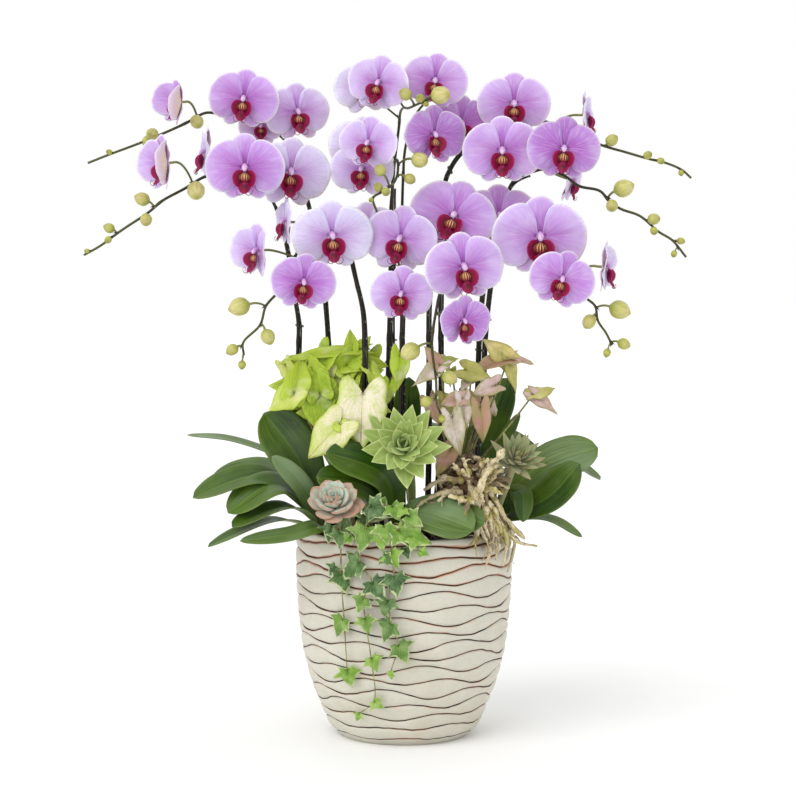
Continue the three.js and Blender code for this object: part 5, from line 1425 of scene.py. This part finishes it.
# The plain parts of the pot are taken to be this far from a groove
NO_GROOVE = 9


def wave_height(line, turn):
    level = RIDGE_LOW + (RIDGE_HIGH - RIDGE_LOW) * line / (RIDGES - 1)
    calm = min(1, 0.25 + line / 5, 0.45 + (RIDGES - 1 - line) / 3)
    return level + calm * WAVE * (np.sin(7 * turn + 1.9 * line) + 0.55 * np.sin(4 * turn - 1.1 * line + 1))


def make_pot():
    turn = angles(POT_SIDES)
    rng = np.random.default_rng(9)
    rings, grain = [], []

    def wobble(amount):
        """A small unevenness that closes on itself round the pot."""
        waves = range(9, 46, 4)
        return sum(rng.normal(0, amount / math.sqrt(k)) * np.sin(k * turn + rng.uniform(0, 7)) for k in waves)

    def ring(r, z, apart=NO_GROOVE, stain=0.4):
        rings.append(np.stack(np.broadcast_arrays(r * np.cos(turn), r * np.sin(turn), z), 1))
        grain.append(np.stack(np.broadcast_arrays(turn, apart, stain), 1))

    grooves = [wave_height(line, turn) + wobble(0.5) for line in range(RIDGES)]
    foot = pot_radius(0)
    for r, z, stain in ((20, 1.5, 0), (50, 1.5, 0), (72, 0.8, 0), (foot - 3, 0, 0), (foot, 0.6, 0.5)):
        ring(r, z, stain=stain)
    for line, (low, high) in enumerate(zip(grooves, grooves[1:])):
        stain = 0.25 + 0.3 * np.sin(2.7 * line + 3 * turn) + (0.7 if line > RUSTY_FROM else 0)
        for share, swell in GROOVE:
            z = low + (high - low) * share
            ring(pot_radius(z) + swell * RIDGE_DEPTH, z, np.minimum(share, 1 - share) * (high - low), stain)
    top = grooves[-1]
    for share, swell in GROOVE[:4]:
        ring(pot_radius(top) + swell * RIDGE_DEPTH, top + (POT_HEIGHT - top) * share * 3, share * 16, 0.9)
    rim = pot_radius(POT_HEIGHT)
    inside = rim - WALL
    for r, z in ((rim, -1.6), (rim - 0.8, -0.4), (rim - 2.4, 0), (inside + 1.6, 0), (inside + 0.3, -0.8),
                 (inside, -3), (inside, -30), (pot_radius(150) - WALL, -108), (pot_radius(60) - WALL, -198),
                 (60, -246), (20, -248)):
        ring(r, POT_HEIGHT + z)
    piece = Piece()
    piece.skin(rings, grain=np.array(grain), bulge=0)
    piece.build("ridged_pot", [pot_look()], "pot_ceramic", "pot")


def make_medium():
    """The frame's own medium in bark, with loose chips on it that keep clear of the plants' feet."""
    bark = bark_look()
    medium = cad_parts["growing_medium"]
    medium.data.materials.clear()
    medium.data.materials.append(bark)
    rng = np.random.default_rng(3)
    piece = Piece()
    plants = [row[0] for table in (SPIKES, ROSETTES, VINES, ECHEVERIAS) for row in table.values()]
    feet = np.array([*plants, IVY_FOOT, ROOT_CORE[0]], float)
    for _ in range(CHIPS):
        r, spin = CHIPS_WITHIN * math.sqrt(rng.random()), rng.uniform(0, TURN)
        x, y = r * math.cos(spin), r * math.sin(spin)
        if np.linalg.norm(feet - [x, y], axis=1).min() < CHIP_CLEARANCE:
            continue
        z = MEDIUM_TOP - (MEDIUM_TOP - MEDIUM_EDGE) * r / MEDIUM_RADIUS + rng.uniform(-0.5, 3.5)
        size = rng.uniform(3, 8)
        way = unit([math.cos(spin * 7), math.sin(spin * 7), rng.uniform(-0.5, 0.5)])
        line = np.linspace([x, y, z] - way * size, [x, y, z] + way * size, 5)
        line += rng.normal(0, 0.5, line.shape)
        far = np.linalg.norm(line[:, :2], axis=1, keepdims=True)
        line[:, :2] *= np.minimum(1, CHIPS_REACH / np.maximum(far, 1))
        radius = size * rng.uniform(0.25, 0.5) * CHIP_TAPER * rng.uniform(0.8, 1.2, 5)
        piece.tube(line, radius, 6, squash=rng.uniform(0.35, 0.8))
    piece.build("bark_chips", [bark], "bark_medium")


def add_object(name, data):
    made = bpy.data.objects.new(name, data)
    bpy.context.scene.collection.objects.link(made)
    return made


def make_stage():
    """The floor, the surroundings, two soft lamps and the photograph's view."""
    mesh = bpy.data.meshes.new("floor")
    corners = [(x * FLOOR_HALF, y * FLOOR_HALF, 0) for x, y in ((-1, -1), (1, -1), (1, 1), (-1, 1))]
    mesh.from_pydata(corners, [], [(0, 1, 2, 3)])
    floor = add_object("floor", mesh)
    look = Look("floor_paint", 0.7, Specular_IOR_Level=0.1)
    look.colour = look.ramp(look.noise(look.place, 6, 2), (0.3, (250, 250, 250)), (0.7, (252, 252, 252)))
    mesh.materials.append(look.finish())

    world = bpy.data.worlds.new("studio")
    world.use_nodes = True
    tree = world.node_tree
    way = tree.nodes.new("ShaderNodeTexCoord")
    split = tree.nodes.new("ShaderNodeSeparateXYZ")
    depth = tree.nodes.new("ShaderNodeMapRange")
    background = tree.nodes["Background"]
    tree.links.new(way.outputs["Generated"], split.inputs[0])
    tree.links.new(split.outputs[1], depth.inputs[0])
    tree.links.new(depth.outputs[0], background.inputs["Strength"])
    for socket, value in enumerate((-0.5, 0.3, FRONT_GLOW, BACK_GLOW), 1):
        depth.inputs[socket].default_value = value
    background.inputs["Color"].default_value = (1, 1, 1, 1)
    bpy.context.scene.world = world
    bpy.context.scene.view_settings.view_transform = "Standard"

    for name, (towards, angle, power) in {"key": KEY, "fill": FILL}.items():
        light = bpy.data.lights.new(name, "SUN")
        light.angle, light.energy = math.radians(angle), power
        add_object(name, light).rotation_euler = Vector(towards).to_track_quat("-Z", "Y").to_euler()

    lens = bpy.data.cameras.new("camera")
    lens.sensor_width = SENSOR
    lens.lens = SENSOR * FOCAL_PIXELS / VIEW_PIXELS
    lens.clip_end = VIEW_END
    camera = add_object("camera", lens)
    camera.location = EYE * MM
    camera.rotation_euler = (math.pi / 2 - EYE_PITCH, 0, 0)
    bpy.context.scene.camera = camera


make_pot()
make_medium()
for number, name in enumerate(BLOOMS):
    make_bloom(name, number)
make_spikes()
make_rosettes()
make_vines()
make_echeverias()
make_ivy()
make_roots()
make_stage()
